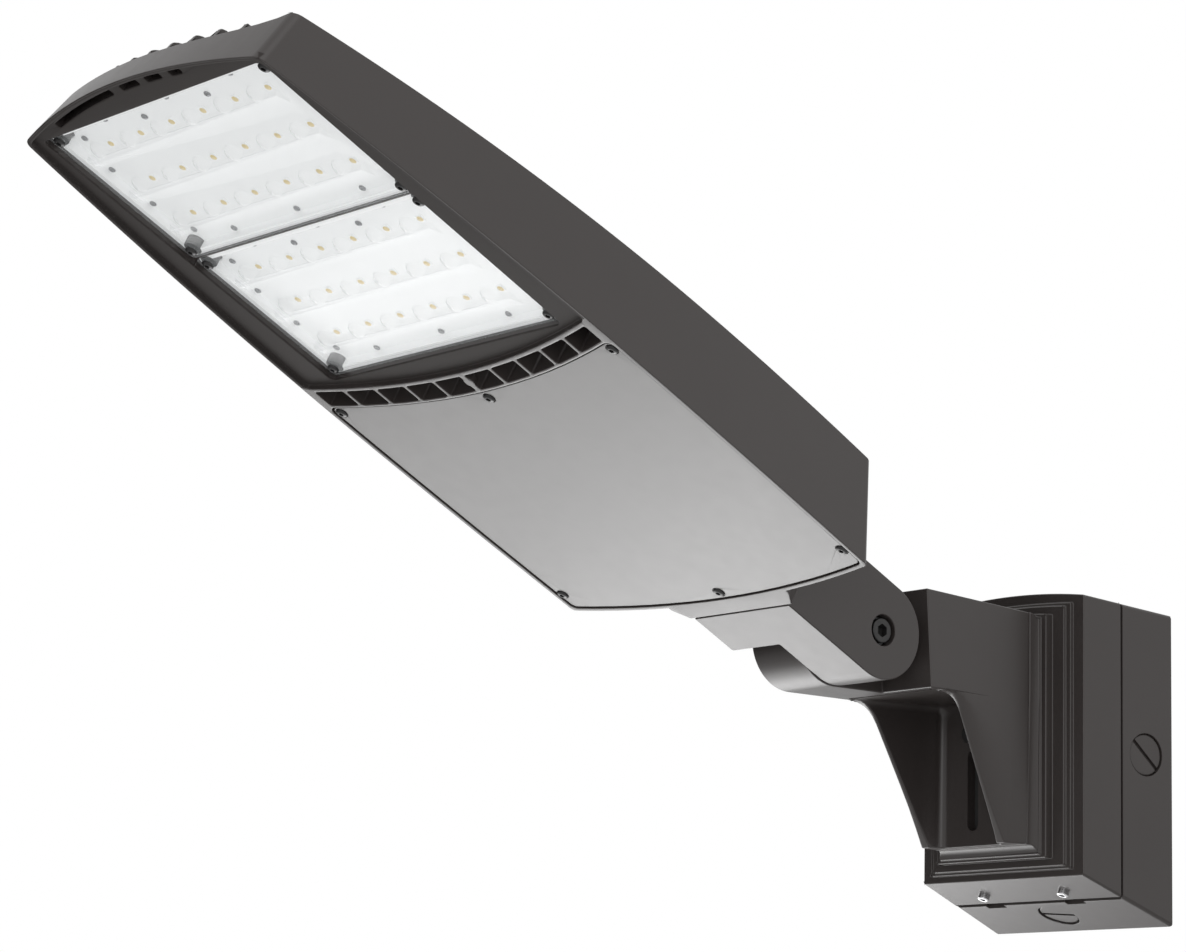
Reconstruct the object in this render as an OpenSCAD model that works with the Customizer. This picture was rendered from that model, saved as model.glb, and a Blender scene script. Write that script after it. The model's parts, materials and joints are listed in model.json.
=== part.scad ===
// Shoebox area light: an LED head on a tilting knuckle, an arm, a stepped wall bracket and
// a surface conduit box. Millimetres. X points out from the wall, Z up, and the origin is
// the middle of the face that lies on the wall. The head is drawn in its own frame, where
// U runs from its back to its front along the underside, V across it, and W up through it.

/* [Head] */
// Length of the head from its back corners to its front corners
head_l = 592; // [560:1:640]
// Width of the head at its widest
head_w = 340; // [330:1:352]
// Distance from the back corners to the widest place
widest_u = 200; // [150:1:260]
// How far each side draws in from the widest place to the back corner
taper_back = 2.5; // [0:0.5:6]
// How far each side draws in from the widest place to the front corner
taper_front = 24; // [18:0.5:25]
// Bulge of the back edge between its corners
back_bulge = 17; // [10:0.5:20]
// Bulge of the front edge between its corners
front_bulge = 21; // [14:0.5:30]
// Height of the head at its highest place
head_h = 75; // [70:0.5:84]
// Distance from the back corners to the highest place
peak_u = 117; // [90:1:150]
// Fall of the top from its highest place to the front
head_drop = 28; // [20:0.5:31]
// Forward lean of the back wall from bottom to top
back_lean = 29; // [16:0.5:34]
// Backward lean of the front wall over the full height
front_lean = 16; // [8:0.5:20]
// Inward lean of each side wall over the full height
side_lean = 8; // [4:0.5:10]
// Thickness of the cast walls
shell_t = 4; // [3:0.1:5]
// Angle of the head above level, as it hangs at rest
tilt = 27.6; // [0:0.1:60]

/* [Heat sink] */
// Number of fins across the top of the front half
fin_count = 11; // [9:1:15]
// Thickness of a fin
fin_t = 4; // [3:0.5:5]
// Depth of the fins' tops below the side walls
fin_sink = 1; // [0:0.5:4]
// Height of the front wall on the middle line
front_h = 29; // [28.5:0.5:36]
// Height of the heat sink's base above the underside
base_top = 24; // [23:0.5:28]

/* [Light engine] */
// Distance between the screws of one lens plate along the head
lens_screw_u = 128.3; // [120:0.1:130]
// Distance between the screws of one lens plate across the head
lens_screw_v = 255.3; // [245:0.1:257]
// Distance between the middles of the two lens plates
engine_pitch = 145; // [145:0.1:147]
// Distance from the back corners to the middle between the lens plates
engine_u = 439.8; // [438:0.1:442]
// Distance from a lens screw to the edge of its plate
lens_margin = 7.4; // [6.5:0.1:7.7]
// Thickness of the lens plate's flange
lens_t = 2.6; // [2:0.1:3]
// Depth of the lens plate's flange above the underside
lens_recess = 8.5; // [7.5:0.1:9.5]
// Rows of lenses on one plate
lens_rows = 3; // [2:1:3]
// Lenses in one row
lens_columns = 6; // [4:1:6]
// Distance between the rows of lenses
row_pitch = 40; // [38:0.5:41]
// Distance between the lenses of one row
column_pitch = 39; // [34:0.5:39]
// Radius of one lens
lens_r = 8.5; // [7:0.5:10]
// Thickness of the seal under each lens plate
lens_seal_t = 1.5; // [1:0.1:2]
// Thickness of an LED board
board_t = 1.6; // [1:0.1:2]
// Side of an LED chip
chip_w = 5; // [3.5:0.5:7]
// Height of an LED chip
chip_h = 0.9; // [0.6:0.1:1.4]

/* [Vents] */
// Distance from the back corners to the door side of the vent band, on the middle line
vent_u = 256; // [254:0.5:257]
// Width of the vent band along the head
vent_w = 17; // [15:0.5:18]
// Radius of the curve that the vent band follows
vent_r = 670; // [640:5:760]
// Vents on each side of the middle boss
vent_count = 5; // [4:1:6]
// Width of the web between two vents
vent_web = 6; // [4:0.5:8]

/* [Driver door] */
// Thickness of the door
door_t = 3; // [2.5:0.1:4]
// Width of the rim around the door and the light engine
rim_w = 4; // [4:0.1:5]
// Depth of the door's face above the rim
door_recess = 1; // [0.6:0.1:1.5]
// Gap around the door
door_gap = 1; // [0.6:0.1:1.5]
// Thickness of the door seal
door_seal_t = 1.5; // [1:0.1:2]
// Width of the ledge that the door seal lies on
ledge_w = 17; // [16:0.5:20]
// Distance of the corner screws from the widest line of the head's side
door_screw_side = 11; // [10:0.5:13]
// Distance of the front corner screws from the back corners
door_screw_front = 264; // [262:0.5:265]
// Distance of the back corner screws from the back corners
door_screw_back = 20.5; // [18:0.5:24]
// Distance of the middle screws from the door's edge
door_screw_edge = 8; // [7.5:0.5:9]
// Radius of the screws' threads
small_screw_r = 2.5; // [2:0.1:2.7]
// Radius of the screws' heads
small_head_r = 4.6; // [4:0.1:5]

/* [Driver] */
// Length of the LED driver across the head
driver_l = 180; // [150:1:200]
// Width of the LED driver along the head
driver_w = 76; // [60:1:84]
// Height of the LED driver
driver_h = 34; // [28:0.5:36]
// Distance from the back corners to the middle of the LED driver
driver_u = 172; // [165:1:180]
// Side of the surge protector
surge_w = 44; // [36:1:48]
// Length of the terminal block
terminal_l = 62; // [50:1:70]

/* [Knuckle] */
// Width of the knuckle and the arm
knuckle_w = 107; // [100:1:112]
// Radius of the knuckle's round end
knuckle_r = 37.5; // [34:0.5:37.5]
// Distance from the back corners to the pivot
pivot_u = 120.3; // [118:0.1:126]
// Distance from the pivot to the full width of the knuckle
step_l = 45.3; // [43:0.1:48]
// Thickness of the knuckle's end wall at the head
end_t = 13; // [10:0.5:16]
// Length of the seat behind the head that the knuckle is bolted to
seat_l = 13; // [10:0.5:16]
// Width of the seat at the knuckle
seat_w = 114; // [112:1:120]
// Height of the seat
seat_h = 66; // [64:0.5:68]
// Wall of the hollow knuckle and arm
knuckle_wall = 8; // [6:0.5:9]
// Radius of the pivot bolt
pivot_bolt_r = 6; // [5:0.5:8]
// Radius of the recess for the pivot bolt's head
pivot_recess_r = 12; // [11.5:0.5:14]
// Depth of the recess for the pivot bolt's head
pivot_recess = 10; // [9:0.5:12]
// Gap between the two halves of the joint
joint_gap = 0.4; // [0.3:0.05:0.6]

/* [Arm] */
// Distance from the pivot to the back of the arm
arm_l = 156.5; // [150:0.5:160]
// Radius of the arm's drum
drum_r = 38.5; // [36:0.5:40]
// Distance from the pivot to the lower edge of the shoulder behind the knuckle
shoulder_l = 50.5; // [49:0.5:54]
// How much nearer to the pivot the shoulder's upper edge is
shoulder_lean = 5.5; // [0:0.5:6]
// Fall of the arm's top from the pivot to its back
arm_fall = 7.5; // [0:0.5:9]
// Depth of the arm's webs below the pivot
web_drop = 150; // [142:1:152]
// Thickness of the back plate
web_t = 8; // [6:0.5:10]
// How far each web draws in from the arm's side down to its lower tip
web_lean = 10.5; // [8:0.5:12]
// Half width of the pocket's flat back
pocket_half = 28; // [24:0.5:30]
// Width of the slot in the back plate
slot_w = 11.8; // [9:0.1:13]
// Depth of the slot's upper end below the pivot
slot_top = 74; // [73:0.5:80]
// Depth of the slot's lower end below the pivot
slot_bottom = 138; // [125:0.5:139]
// Depth of the lower arm bolt below the pivot
bolt_drop = 62; // [61:0.5:63]
// Height of the upper arm bolt above the pivot
bolt_rise = 10; // [4:0.5:14]
// Radius of the arm bolts
arm_bolt_r = 4; // [3:0.5:4.5]
// Width across the flats of the arm bolts' heads
arm_bolt_flats = 13; // [11:0.5:14]

/* [Wall bracket] */
// Distance from the wall to the bracket's front face
bracket_d = 91; // [86:1:98]
// Half width of the bracket's front face
bracket_half = 88; // [87:0.5:92]
// Height of the bracket's top edge above the origin
bracket_top = 130.5; // [129:0.5:134]
// Depth of the bracket's bottom edge below the origin
bracket_bottom = 88; // [86:0.5:92]
// Rise of the arch in the top edge
arch_rise = 6.5; // [3:0.5:9]
// Wall of the bracket and the conduit box
box_wall = 5; // [4:0.1:6]
// Radius of the clamping screws under the bracket
clamp_screw_r = 4; // [3:0.1:4.5]
// Distance between the clamping screws
clamp_pitch = 87; // [80:1:100]

/* [Conduit box] */
// Depth of the conduit box
box_d = 51; // [48:0.5:56]
// Half width of the conduit box at the wall
box_half = 96.5; // [94:0.5:102]
// Half height of the conduit box at the wall
box_half_h = 122.5; // [120:0.5:128]
// Thickness of the seals behind the bracket and the arm
seal_t = 1.5; // [1:0.1:2]
// Distance from the wall to the middle of the conduit entries
entry_x = 27; // [26:0.5:29]
// Height of the side entries above the origin
entry_z = 10; // [-20:1:30]
// Radius of the conduit entries
entry_r = 16.6; // [13:0.1:17]
// Depth of the plugs' faces in their entries
plug_recess = 2.5; // [1:0.5:4]
// Distance between the wall screw holes across the wall
wall_hole_y = 130; // [110:1:140]
// Distance between the wall screw holes up the wall
wall_hole_z = 190; // [170:1:200]
// Radius of the wall screw holes
wall_hole_r = 3.5; // [2.5:0.1:5]
// Height of the wire entry above the origin
wire_entry_z = 40; // [30:1:50]
// Radius of the wire entry in the back of the box
wire_entry_r = 11.1; // [8:0.1:14]

/* [Hidden] */
$fn = 48;
cut = 1;              // how far a cut reaches past the face that it opens
thin = 0.01;          // thickness of a slice that only shapes a loft
edge_steps = 12;      // straight pieces in a curved edge of the head
run_gap = 0.05;       // clearance around a bolt in its bore

// Where the two fixed frames meet
root_l = 23;          // from the bracket's front face to the arm's seal
pivot_drop = 44.5;    // from the bracket's top edge down to the pivot
pivot_x = bracket_d + root_l + seal_t + arm_l;
pivot_z = bracket_top - pivot_drop;

// Bottom and sides of the tiers on the bracket's front: [inset, height]
tiers = [[11, 3], [16, 5.5], [28, 13], [33, 15]];

// Levels inside the head
door_in = door_recess + door_t;
ledge_at = door_in + door_seal_t;
ledge_t = 4;
frame_in = 4;         // depth of the frame around the lens plates
lens_seat = lens_recess + lens_t + lens_seal_t;
board_top = lens_seat + 7;
board_at = board_top - board_t;
pocket_inset = 4.5;   // from the edge of a lens plate to its board pocket
post_r = 6;           // radius of the screw posts
driver_clear = 10;    // space between the driver and the door
driver_seat = door_in + driver_clear + driver_h;
driver_foot_t = 2;    // thickness of the driver's feet
tray_t = 3;           // floor of the surge protector and the terminal block
terminal_h = 18;
terminal_w = 24;
head_thread = 8;      // length of a small screw in its post
head_thick = 2.2;     // height of a small screw's head

// Knuckle and its seat on the head
seat_u = -back_bulge - seat_l;
seat_flare = 10;      // how much wider the seat is at the head, on each side
knuckle_h = 2 * knuckle_r;
end_u = seat_u - seal_t;
wide_end = step_l - pivot_u;
half = knuckle_w / 2;
bolt_head_t = 7;
washer_t = 1.6;
nut_t = 9;

// Edges of the head in plan, each drawn in by the inset i
function side_v(u, i = 0) = head_w / 2 - i - (u < widest_u
    ? taper_back * pow((widest_u - u) / widest_u, 2)
    : taper_front * pow((u - widest_u) / (head_l - widest_u), 2));
function back_u(v, i = 0) = i - back_bulge * (1 - pow(v / side_v(0), 2));
function front_u(v, i = 0) = head_l - i + front_bulge * (1 - pow(v / side_v(head_l), 2));
function arc_u(v, at) = at + v * v / (2 * vent_r);
function arc_end_u(at, i) = arc_u(side_v(at + 20, i), at);
function front_w(v) = front_h + (top_w(head_l) - front_h) * pow(v / side_v(head_l), 2);
function top_w(u) = head_h - head_drop * pow((u - peak_u) / (head_l - peak_u), 2);
function steps(a, b) = [for (k = [0:edge_steps]) a + (b - a) * k / edge_steps];

// Whole outline of the head
function head_outline(i = 0) = concat(
    [for (v = steps(-side_v(0, i), side_v(0, i))) [back_u(v, i), v]],
    [for (u = steps(i, head_l - i)) if (u > i && u < head_l - i) [u, side_v(u, i)]],
    [for (v = steps(side_v(head_l, i), -side_v(head_l, i))) [front_u(v, i), v]],
    [for (u = steps(head_l - i, i)) if (u > i && u < head_l - i) [u, -side_v(u, i)]]);

// Outline of the part behind a curve across the head
function rear_outline(i, at) = concat(
    [for (v = steps(-side_v(0, i), side_v(0, i))) [back_u(v, i), v]],
    [for (u = steps(i, arc_end_u(at, i))) if (u > i) [u, side_v(u, i)]],
    [for (v = steps(side_v(at + 20, i), -side_v(at + 20, i)))
        if (abs(v) < side_v(at + 20, i) - thin) [arc_u(v, at), v]],
    [for (u = steps(arc_end_u(at, i), i)) if (u > i) [u, -side_v(u, i)]]);

// Outline of the driver door's opening, drawn in by the inset i on every side
function door_outline(i) = rear_outline(i, door_front + rim_w - i);

// Outline of the part in front of a curve across the head
function front_outline(i, at) = concat(
    [for (v = steps(-side_v(at + 20, i), side_v(at + 20, i))) [arc_u(v, at), v]],
    [for (u = steps(arc_end_u(at, i), head_l - i))
        if (u > arc_end_u(at, i) && u < head_l - i) [u, side_v(u, i)]],
    [for (v = steps(side_v(head_l, i), -side_v(head_l, i))) [front_u(v, i), v]],
    [for (u = steps(head_l - i, arc_end_u(at, i)))
        if (u > arc_end_u(at, i) && u < head_l - i) [u, -side_v(u, i)]]);

// Puts its children in the head's frame
module in_head()
    translate([pivot_x, 0, pivot_z])
        rotate([0, -tilt, 0])
            translate([pivot_u, 0, -knuckle_r]) children();

// A plan shape of the head between two levels
module level(w0, w1) translate([0, 0, w0]) linear_extrude(w1 - w0) children();

// A side view shape, in X and Z, from y0 to y1
module across(y0, y1) translate([0, y1, 0]) rotate([90, 0, 0]) linear_extrude(y1 - y0) children();

// A front view shape, in Y and Z, from x0 to x1
module along(x0, x1) translate([x0, 0, 0]) rotate([90, 0, 90]) linear_extrude(x1 - x0) children();

// A round bar along Y
module bar_y(r, y0, y1) translate([0, y1, 0]) rotate([90, 0, 0]) cylinder(r = r, h = y1 - y0);

// A round bar along X
module bar_x(r, x0, x1) translate([x0, 0, 0]) rotate([0, 90, 0]) cylinder(r = r, h = x1 - x0);

// Leaning walls of the head, drawn in by the inset i
lean_u = 1 - (back_lean + front_lean) / head_l;
lean_v = 1 - 2 * side_lean / head_w;
lean_at = back_lean / (1 - lean_u);
module leaning(outline)
    translate([lean_at, 0, 0])
        linear_extrude(head_h, scale = [lean_u, lean_v], slices = 1)
            translate([-lean_at, 0]) polygon(outline);

// Space under the arched top, lowered by d
module under_top(d, w0 = 0)
    across(-head_w, head_w)
        polygon(concat([[-3 * back_bulge, w0], [head_l + 2 * front_bulge, w0]],
            [for (u = steps(head_l + 2 * front_bulge, -3 * back_bulge)) [u, top_w(u) - d]]));

// Places of the screws of the driver door
vent_wall = 3;        // wall between the driver space and the vents
door_front = vent_u - vent_wall;
door_screw_v = head_w / 2 - door_screw_side;
door_screw_places = [
    [door_screw_front, door_screw_v], [door_screw_front, -door_screw_v],
    [door_screw_back, door_screw_v], [door_screw_back, -door_screw_v],
    [door_front - door_screw_edge, 0], [door_screw_edge + rim_w - back_bulge, 0]
];
module at_door_screws() for (p = door_screw_places) translate([p.x, p.y, 0]) children();

// Places of the two lens plates and of their screws
module at_engine(side) translate([engine_u + side * engine_pitch / 2, 0, 0]) children();
module at_lens_screws()
    for (x = [-1, 1], y = [-1, 1])
        translate([x * lens_screw_u / 2, y * lens_screw_v / 2, 0]) children();
plate_l = lens_screw_u + 2 * lens_margin;
plate_w = lens_screw_v + 2 * lens_margin;
pocket_l = plate_l - 2 * pocket_inset;
pocket_w = plate_w - 2 * pocket_inset;
board_gap = 1;
board_l = pocket_l - 2 * board_gap;
board_w = pocket_w - 2 * board_gap;
module plate(l, w, w0, w1) level(w0, w1) square([l, w], center = true);

// Places of the lenses on one plate
row_shift = 2;        // of the lenses, towards the front of their plate
module at_rows()
    for (r = [0:lens_rows - 1])
        translate([(r - (lens_rows - 1) / 2) * row_pitch + row_shift, 0, 0]) children();
module at_lenses()
    at_rows() for (c = [0:lens_columns - 1])
        translate([0, (c - (lens_columns - 1) / 2) * column_pitch, 0]) children();

// Places of the screws that hold one LED board
board_screw_in = 4;   // from the pocket's edge to the screws along it
board_screw_places = concat(
    [for (x = [-1, 1], y = [-1:1]) [x * (pocket_l / 2 - board_screw_in), y * 2 * column_pitch]],
    [for (x = [-1, 1], y = [-1, 1]) [x * row_pitch / 2, y * (pocket_w / 2 - board_screw_in)]],
    [for (x = [-1, 1], y = [-1, 1]) [x * row_pitch * 4 / 3, y * 3 * column_pitch]],
    [for (y = [-1, 1]) [row_pitch * 4 / 3, y * column_pitch]]);
module at_board_screws() for (p = board_screw_places) translate([p.x, p.y, 0]) children();

// Places of the driver's screws, the surge protector and the terminal block
driver_ear = 9;
module at_driver_screws()
    for (y = [-1, 1]) translate([driver_u, y * (driver_l / 2 + driver_ear / 2 + 1), 0]) children();
side_bay_u = 62;
surge_v = 78;
module at_surge() translate([side_bay_u, surge_v, 0]) children();
module at_terminal() translate([side_bay_u, -surge_v, 0]) children();

// One fin of the heat sink, with a round front end
fin_u0 = vent_u + vent_w + 26;
fin_u1 = head_l - front_lean;
fin_end_l = front_bulge + 10;
fin_end_h = top_w(fin_u1) - fin_sink - base_top + cut;
module fin(v) across(v - fin_t / 2, v + fin_t / 2)
    polygon(concat([[fin_u0, base_top - cut]],
        [for (u = steps(fin_u0, fin_u1)) [u, top_w(u) - fin_sink]],
        [for (a = [75:-15:0]) [fin_u1 + fin_end_l * cos(a), base_top - cut + fin_end_h * sin(a)]]));

fin_field = 2 * (side_v(head_l) - shell_t - side_lean);
fin_pitch = fin_field / fin_count;
module fins() for (k = [0:fin_count - 1]) fin((k - (fin_count - 1) / 2) * fin_pitch);

// Space above the front wall, whose top edge dips in the middle
module above_front()
    translate([head_l - front_lean, 0, 0]) along(0, head_l)
        polygon(concat([[-head_w, 2 * head_h], [-head_w, front_w(side_v(head_l))]],
            [for (v = steps(-side_v(head_l), side_v(head_l))) [v, front_w(v)]],
            [[head_w, front_w(side_v(head_l))], [head_w, 2 * head_h]]));

// Air vents through the base: a curved row, and a crescent behind the front rim
module vent_row() {
    reach = side_v(vent_u + vent_w, rim_w + 4);
    cell = (reach - post_r) / vent_count;
    for (side = [-1, 1], k = [0:vent_count - 1]) {
        v0 = post_r + k * cell + vent_web / 2;
        v1 = post_r + (k + 1) * cell - vent_web / 2;
        polygon([[arc_u(v0, vent_u), side * v0], [arc_u(v1, vent_u), side * v1],
                 [arc_u(v1, vent_u + vent_w), side * v1], [arc_u(v0, vent_u + vent_w), side * v0]]);
    }
}
crescent_u = engine_u + engine_pitch / 2 + plate_l / 2 + 3;
crescent_cells = [[-104, -19], [-7, 14], [23, 40], [50, 62]];  // V of each cell's sides
module crescent() for (cell = crescent_cells)
    polygon(concat([[crescent_u, cell[0]]],
        [for (k = [0:4]) let (v = cell[0] + (cell[1] - cell[0]) * k / 4) [front_u(v, rim_w + 3), v]],
        [[crescent_u, cell[1]]]));

module housing() color([0.17, 0.155, 0.145]) in_head() difference() {
    union() {
        difference() {
            intersection() {
                leaning(head_outline());
                under_top(0);
            }
            above_front();
        }
        intersection() {
            fins();
            leaning(head_outline(shell_t));
        }
        // seat of the knuckle on the back wall
        level(0, seat_h) polygon([
            [seat_u, -seat_w / 2], [-back_bulge, -seat_w / 2 - seat_flare],
            [back_lean, -seat_w / 2 - seat_flare], [back_lean, seat_w / 2 + seat_flare],
            [-back_bulge, seat_w / 2 + seat_flare], [seat_u, seat_w / 2]]);
    }
    // driver space, its ledge and the door's recess
    difference() {
        intersection() {
            leaning(rear_outline(shell_t, door_front));
            under_top(shell_t, ledge_at + ledge_t);
        }
        at_door_screws() cylinder(r = post_r, h = head_h);
        at_driver_screws() translate([0, 0, driver_seat]) cylinder(r = post_r, h = head_h);
        at_surge() translate([0, 0, driver_seat]) cylinder(r = post_r, h = head_h);
        at_terminal() translate([0, 0, driver_seat]) cylinder(r = post_r, h = head_h);
        at_knuckle_bolts() bar_x(knuckle_bolt_r * 2, seat_u, knuckle_boss_u);
    }
    difference() {
        level(ledge_at - cut, ledge_at + ledge_t + cut) polygon(door_outline(ledge_w));
        at_door_screws() cylinder(r = post_r, h = head_h);
    }
    level(-cut, ledge_at) polygon(door_outline(rim_w));
    // space above the heat sink's base, around the fins
    difference() {
        intersection() {
            leaning(front_outline(shell_t, vent_u));
            level(base_top, 2 * head_h) polygon(front_outline(shell_t, vent_u));
        }
        fins();
    }
    // frame around the lens plates, their pockets and the vents
    level(-cut, frame_in) polygon(front_outline(rim_w, vent_u + vent_w + 4));
    level(-cut, base_top + cut) vent_row();
    level(-cut, head_h) crescent();
    for (side = [-1, 1]) at_engine(side) {
        plate(plate_l + 1, plate_w + 1, -cut, lens_seat);
        difference() {
            plate(pocket_l, pocket_w, -cut, board_top);
            at_lens_screws() translate([0, 0, lens_seat]) cylinder(r = post_r, h = head_h);
        }
        at_lens_screws() cylinder(r = small_screw_r + run_gap, h = lens_seat + head_thread);
        at_board_screws() cylinder(r = board_screw_r + run_gap, h = board_top + 3);
    }
    // screw holes of the door, the driver and its neighbours
    at_door_screws() cylinder(r = small_screw_r + run_gap, h = ledge_at + head_thread + 2);
    at_driver_screws() cylinder(r = small_screw_r + run_gap, h = driver_seat + head_thread);
    at_surge() cylinder(r = small_screw_r + run_gap, h = driver_seat + head_thread);
    at_terminal() cylinder(r = small_screw_r + run_gap, h = driver_seat + head_thread);
    at_knuckle_bolts() bar_x(knuckle_bolt_r + run_gap, seat_u - cut, knuckle_boss_u + cut);
    translate([0, 0, knuckle_r]) bar_x(grommet_r + run_gap, seat_u - cut, 2 * back_lean);
}

// A screw with its head's underside at level w, pointing up
module small_screw(w, length) translate([0, 0, w]) {
    cylinder(r = small_screw_r, h = length);
    difference() {
        translate([0, 0, -head_thick]) cylinder(r = small_head_r, h = head_thick);
        translate([0, 0, -head_thick - cut]) cylinder(r = small_head_r * 0.45, h = cut + 1.3, $fn = 6);
    }
}

door_pad = 0.4;       // height of the screw heads' seats in the door
module driver_door() color([0.21, 0.2, 0.195]) in_head() difference() {
    union() {
        level(door_recess, door_in) polygon(door_outline(rim_w + door_gap));
        // stiffening ribs inside the door
        for (v = [-1, 1]) translate([side_bay_u, v * 32, door_in])
            translate([0, -1.25, 0]) cube([driver_u - side_bay_u, 2.5, 5]);
    }
    at_door_screws() {
        cylinder(r = small_screw_r + 0.3, h = head_h);
        translate([0, 0, -cut]) cylinder(r = small_head_r + 0.5, h = cut + door_recess + door_pad);
    }
}

module door_seal() color([0.06, 0.06, 0.06]) in_head() difference() {
    level(door_in, ledge_at) polygon(door_outline(rim_w + 2 * door_gap));
    level(0, head_h) polygon(door_outline(ledge_w - 0.5));
    at_door_screws() cylinder(r = small_screw_r + 0.5, h = head_h);
}

module door_screws() color([0.1, 0.1, 0.1]) in_head()
    at_door_screws() small_screw(door_recess + door_pad, door_t + door_seal_t + head_thread);

module led_board(side) color([0.93, 0.94, 0.94]) in_head() at_engine(side) difference() {
    plate(board_l, board_w, board_at, board_top);
    at_lens_screws() cylinder(r = post_r + board_gap, h = head_h);
    at_board_screws() cylinder(r = board_screw_r + 0.3, h = head_h);
}
module front_led_board() led_board(1);
module rear_led_board() led_board(-1);

module led_chips(side) color([0.95, 0.82, 0.4]) in_head() at_engine(side)
    at_lenses() plate(chip_w, chip_w, board_at - chip_h, board_at);
module front_led_chips() led_chips(1);
module rear_led_chips() led_chips(-1);

dome_h = 5;           // how far a lens stands out from its plate
bar_h = 4;            // how far the prism bar along each row stands out
bar_back = 11.5;      // foot of the bar's long slope, from the row
bar_front = 3;        // foot of its steep side, from the row
bar_l = column_pitch * lens_columns;
module lens_plate(side) color([0.86, 0.9, 0.92, 0.5]) in_head() at_engine(side) difference() {
    union() {
        plate(plate_l, plate_w, lens_recess, lens_recess + lens_t);
        at_lenses() translate([lens_r / 2, 0, lens_recess - dome_h])
            cylinder(r1 = lens_r * 0.55, r2 = lens_r, h = dome_h);
        at_rows() across(-bar_l / 2, bar_l / 2)
            polygon([[-bar_back, lens_recess + cut], [-bar_back, lens_recess],
                     [-1, lens_recess - bar_h], [1, lens_recess - bar_h],
                     [bar_front, lens_recess], [bar_front, lens_recess + cut]]);
    }
    at_lens_screws() cylinder(r = small_screw_r + 0.3, h = head_h);
}
module front_lens_plate() lens_plate(1);
module rear_lens_plate() lens_plate(-1);

module lens_seal(side) color([0.07, 0.07, 0.07]) in_head() at_engine(side) difference() {
    plate(plate_l, plate_w, lens_recess + lens_t, lens_seat);
    difference() {
        plate(pocket_l, pocket_w, 0, head_h);
        at_lens_screws() cylinder(r = post_r, h = head_h);
    }
    at_lens_screws() cylinder(r = small_screw_r + 0.3, h = head_h);
}
module front_lens_seal() lens_seal(1);
module rear_lens_seal() lens_seal(-1);

module lens_screws() color([0.13, 0.13, 0.13]) in_head()
    for (side = [-1, 1]) at_engine(side)
        at_lens_screws() small_screw(lens_recess, lens_t + lens_seal_t + head_thread - 1);

board_screw_r = 1.5;
module board_screws() color([0.2, 0.2, 0.2]) in_head()
    for (side = [-1, 1]) at_engine(side)
        at_board_screws() translate([0, 0, board_at]) {
            cylinder(r = board_screw_r, h = board_t + 2.5);
            translate([0, 0, -board_screw_r]) cylinder(r = board_screw_r * 1.8, h = board_screw_r);
        }

module led_driver() color([0.75, 0.76, 0.77]) in_head() translate([driver_u, 0, 0]) difference() {
    union() {
        plate(driver_w, driver_l, driver_seat - driver_h, driver_seat);
        plate(driver_w * 0.6, driver_l + 2 * driver_ear + 2, driver_seat - driver_foot_t, driver_seat);
    }
    translate([-driver_u, 0, 0]) at_driver_screws() cylinder(r = small_screw_r + 0.3, h = head_h);
}

module driver_screws() color([0.6, 0.6, 0.6]) in_head() {
    at_driver_screws() small_screw(driver_seat - driver_foot_t, driver_foot_t + head_thread - cut);
    at_surge() small_screw(driver_seat - tray_t, tray_t + head_thread - cut);
    at_terminal() small_screw(driver_seat - tray_t, tray_t + head_thread - cut);
}

module surge_protector() color([0.12, 0.12, 0.14]) in_head() at_surge() difference() {
    plate(surge_w, surge_w, driver_seat - driver_h * 0.7, driver_seat);
    translate([0, 0, -cut]) cylinder(r = small_screw_r + 0.3, h = head_h);
    cylinder(r = small_head_r + 0.5, h = driver_seat - tray_t);
}

module terminal_block() color([0.9, 0.88, 0.82]) in_head() at_terminal() difference() {
    plate(terminal_w, terminal_l, driver_seat - terminal_h, driver_seat);
    cylinder(r = small_screw_r + 0.3, h = head_h);
    cylinder(r = small_head_r + 0.5, h = driver_seat - tray_t);
    for (k = [-2, -1, 1, 2]) translate([0, k * terminal_l / 5.6, driver_seat - terminal_h - cut])
        cylinder(r = terminal_w / 8, h = cut + terminal_h / 3);
}

// Bolts that go from the driver space through the back of the head into the knuckle
knuckle_bolt_r = 4;
knuckle_boss_u = 14;  // where their bosses end inside the head
knuckle_head_t = 5.5;
knuckle_bolt_in = 15.5;  // from the knuckle's sides to its bolts
grommet_r = 15;
grommet_in = 20;      // how far the grommet reaches into the seat
module at_knuckle_bolts()
    for (v = [-1, 1], w = [-1, 1])
        translate([0, v * (half - knuckle_bolt_in), knuckle_r + w * (knuckle_r - knuckle_bolt_in)])
            children();

// Path of the wires through the joint, bent around the pivot
wire_slot_r = 20;     // inner radius of the bend
wire_slot_w = 9;      // width of the bend
wire_way_h = 18;      // height of the straight way into the knuckle
module wire_slot(angle, depth)
    rotate([90, 0, 0]) rotate([0, 0, -angle / 2]) rotate_extrude(angle = angle)
        translate([wire_slot_r, 0]) square([wire_slot_w, depth]);

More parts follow.
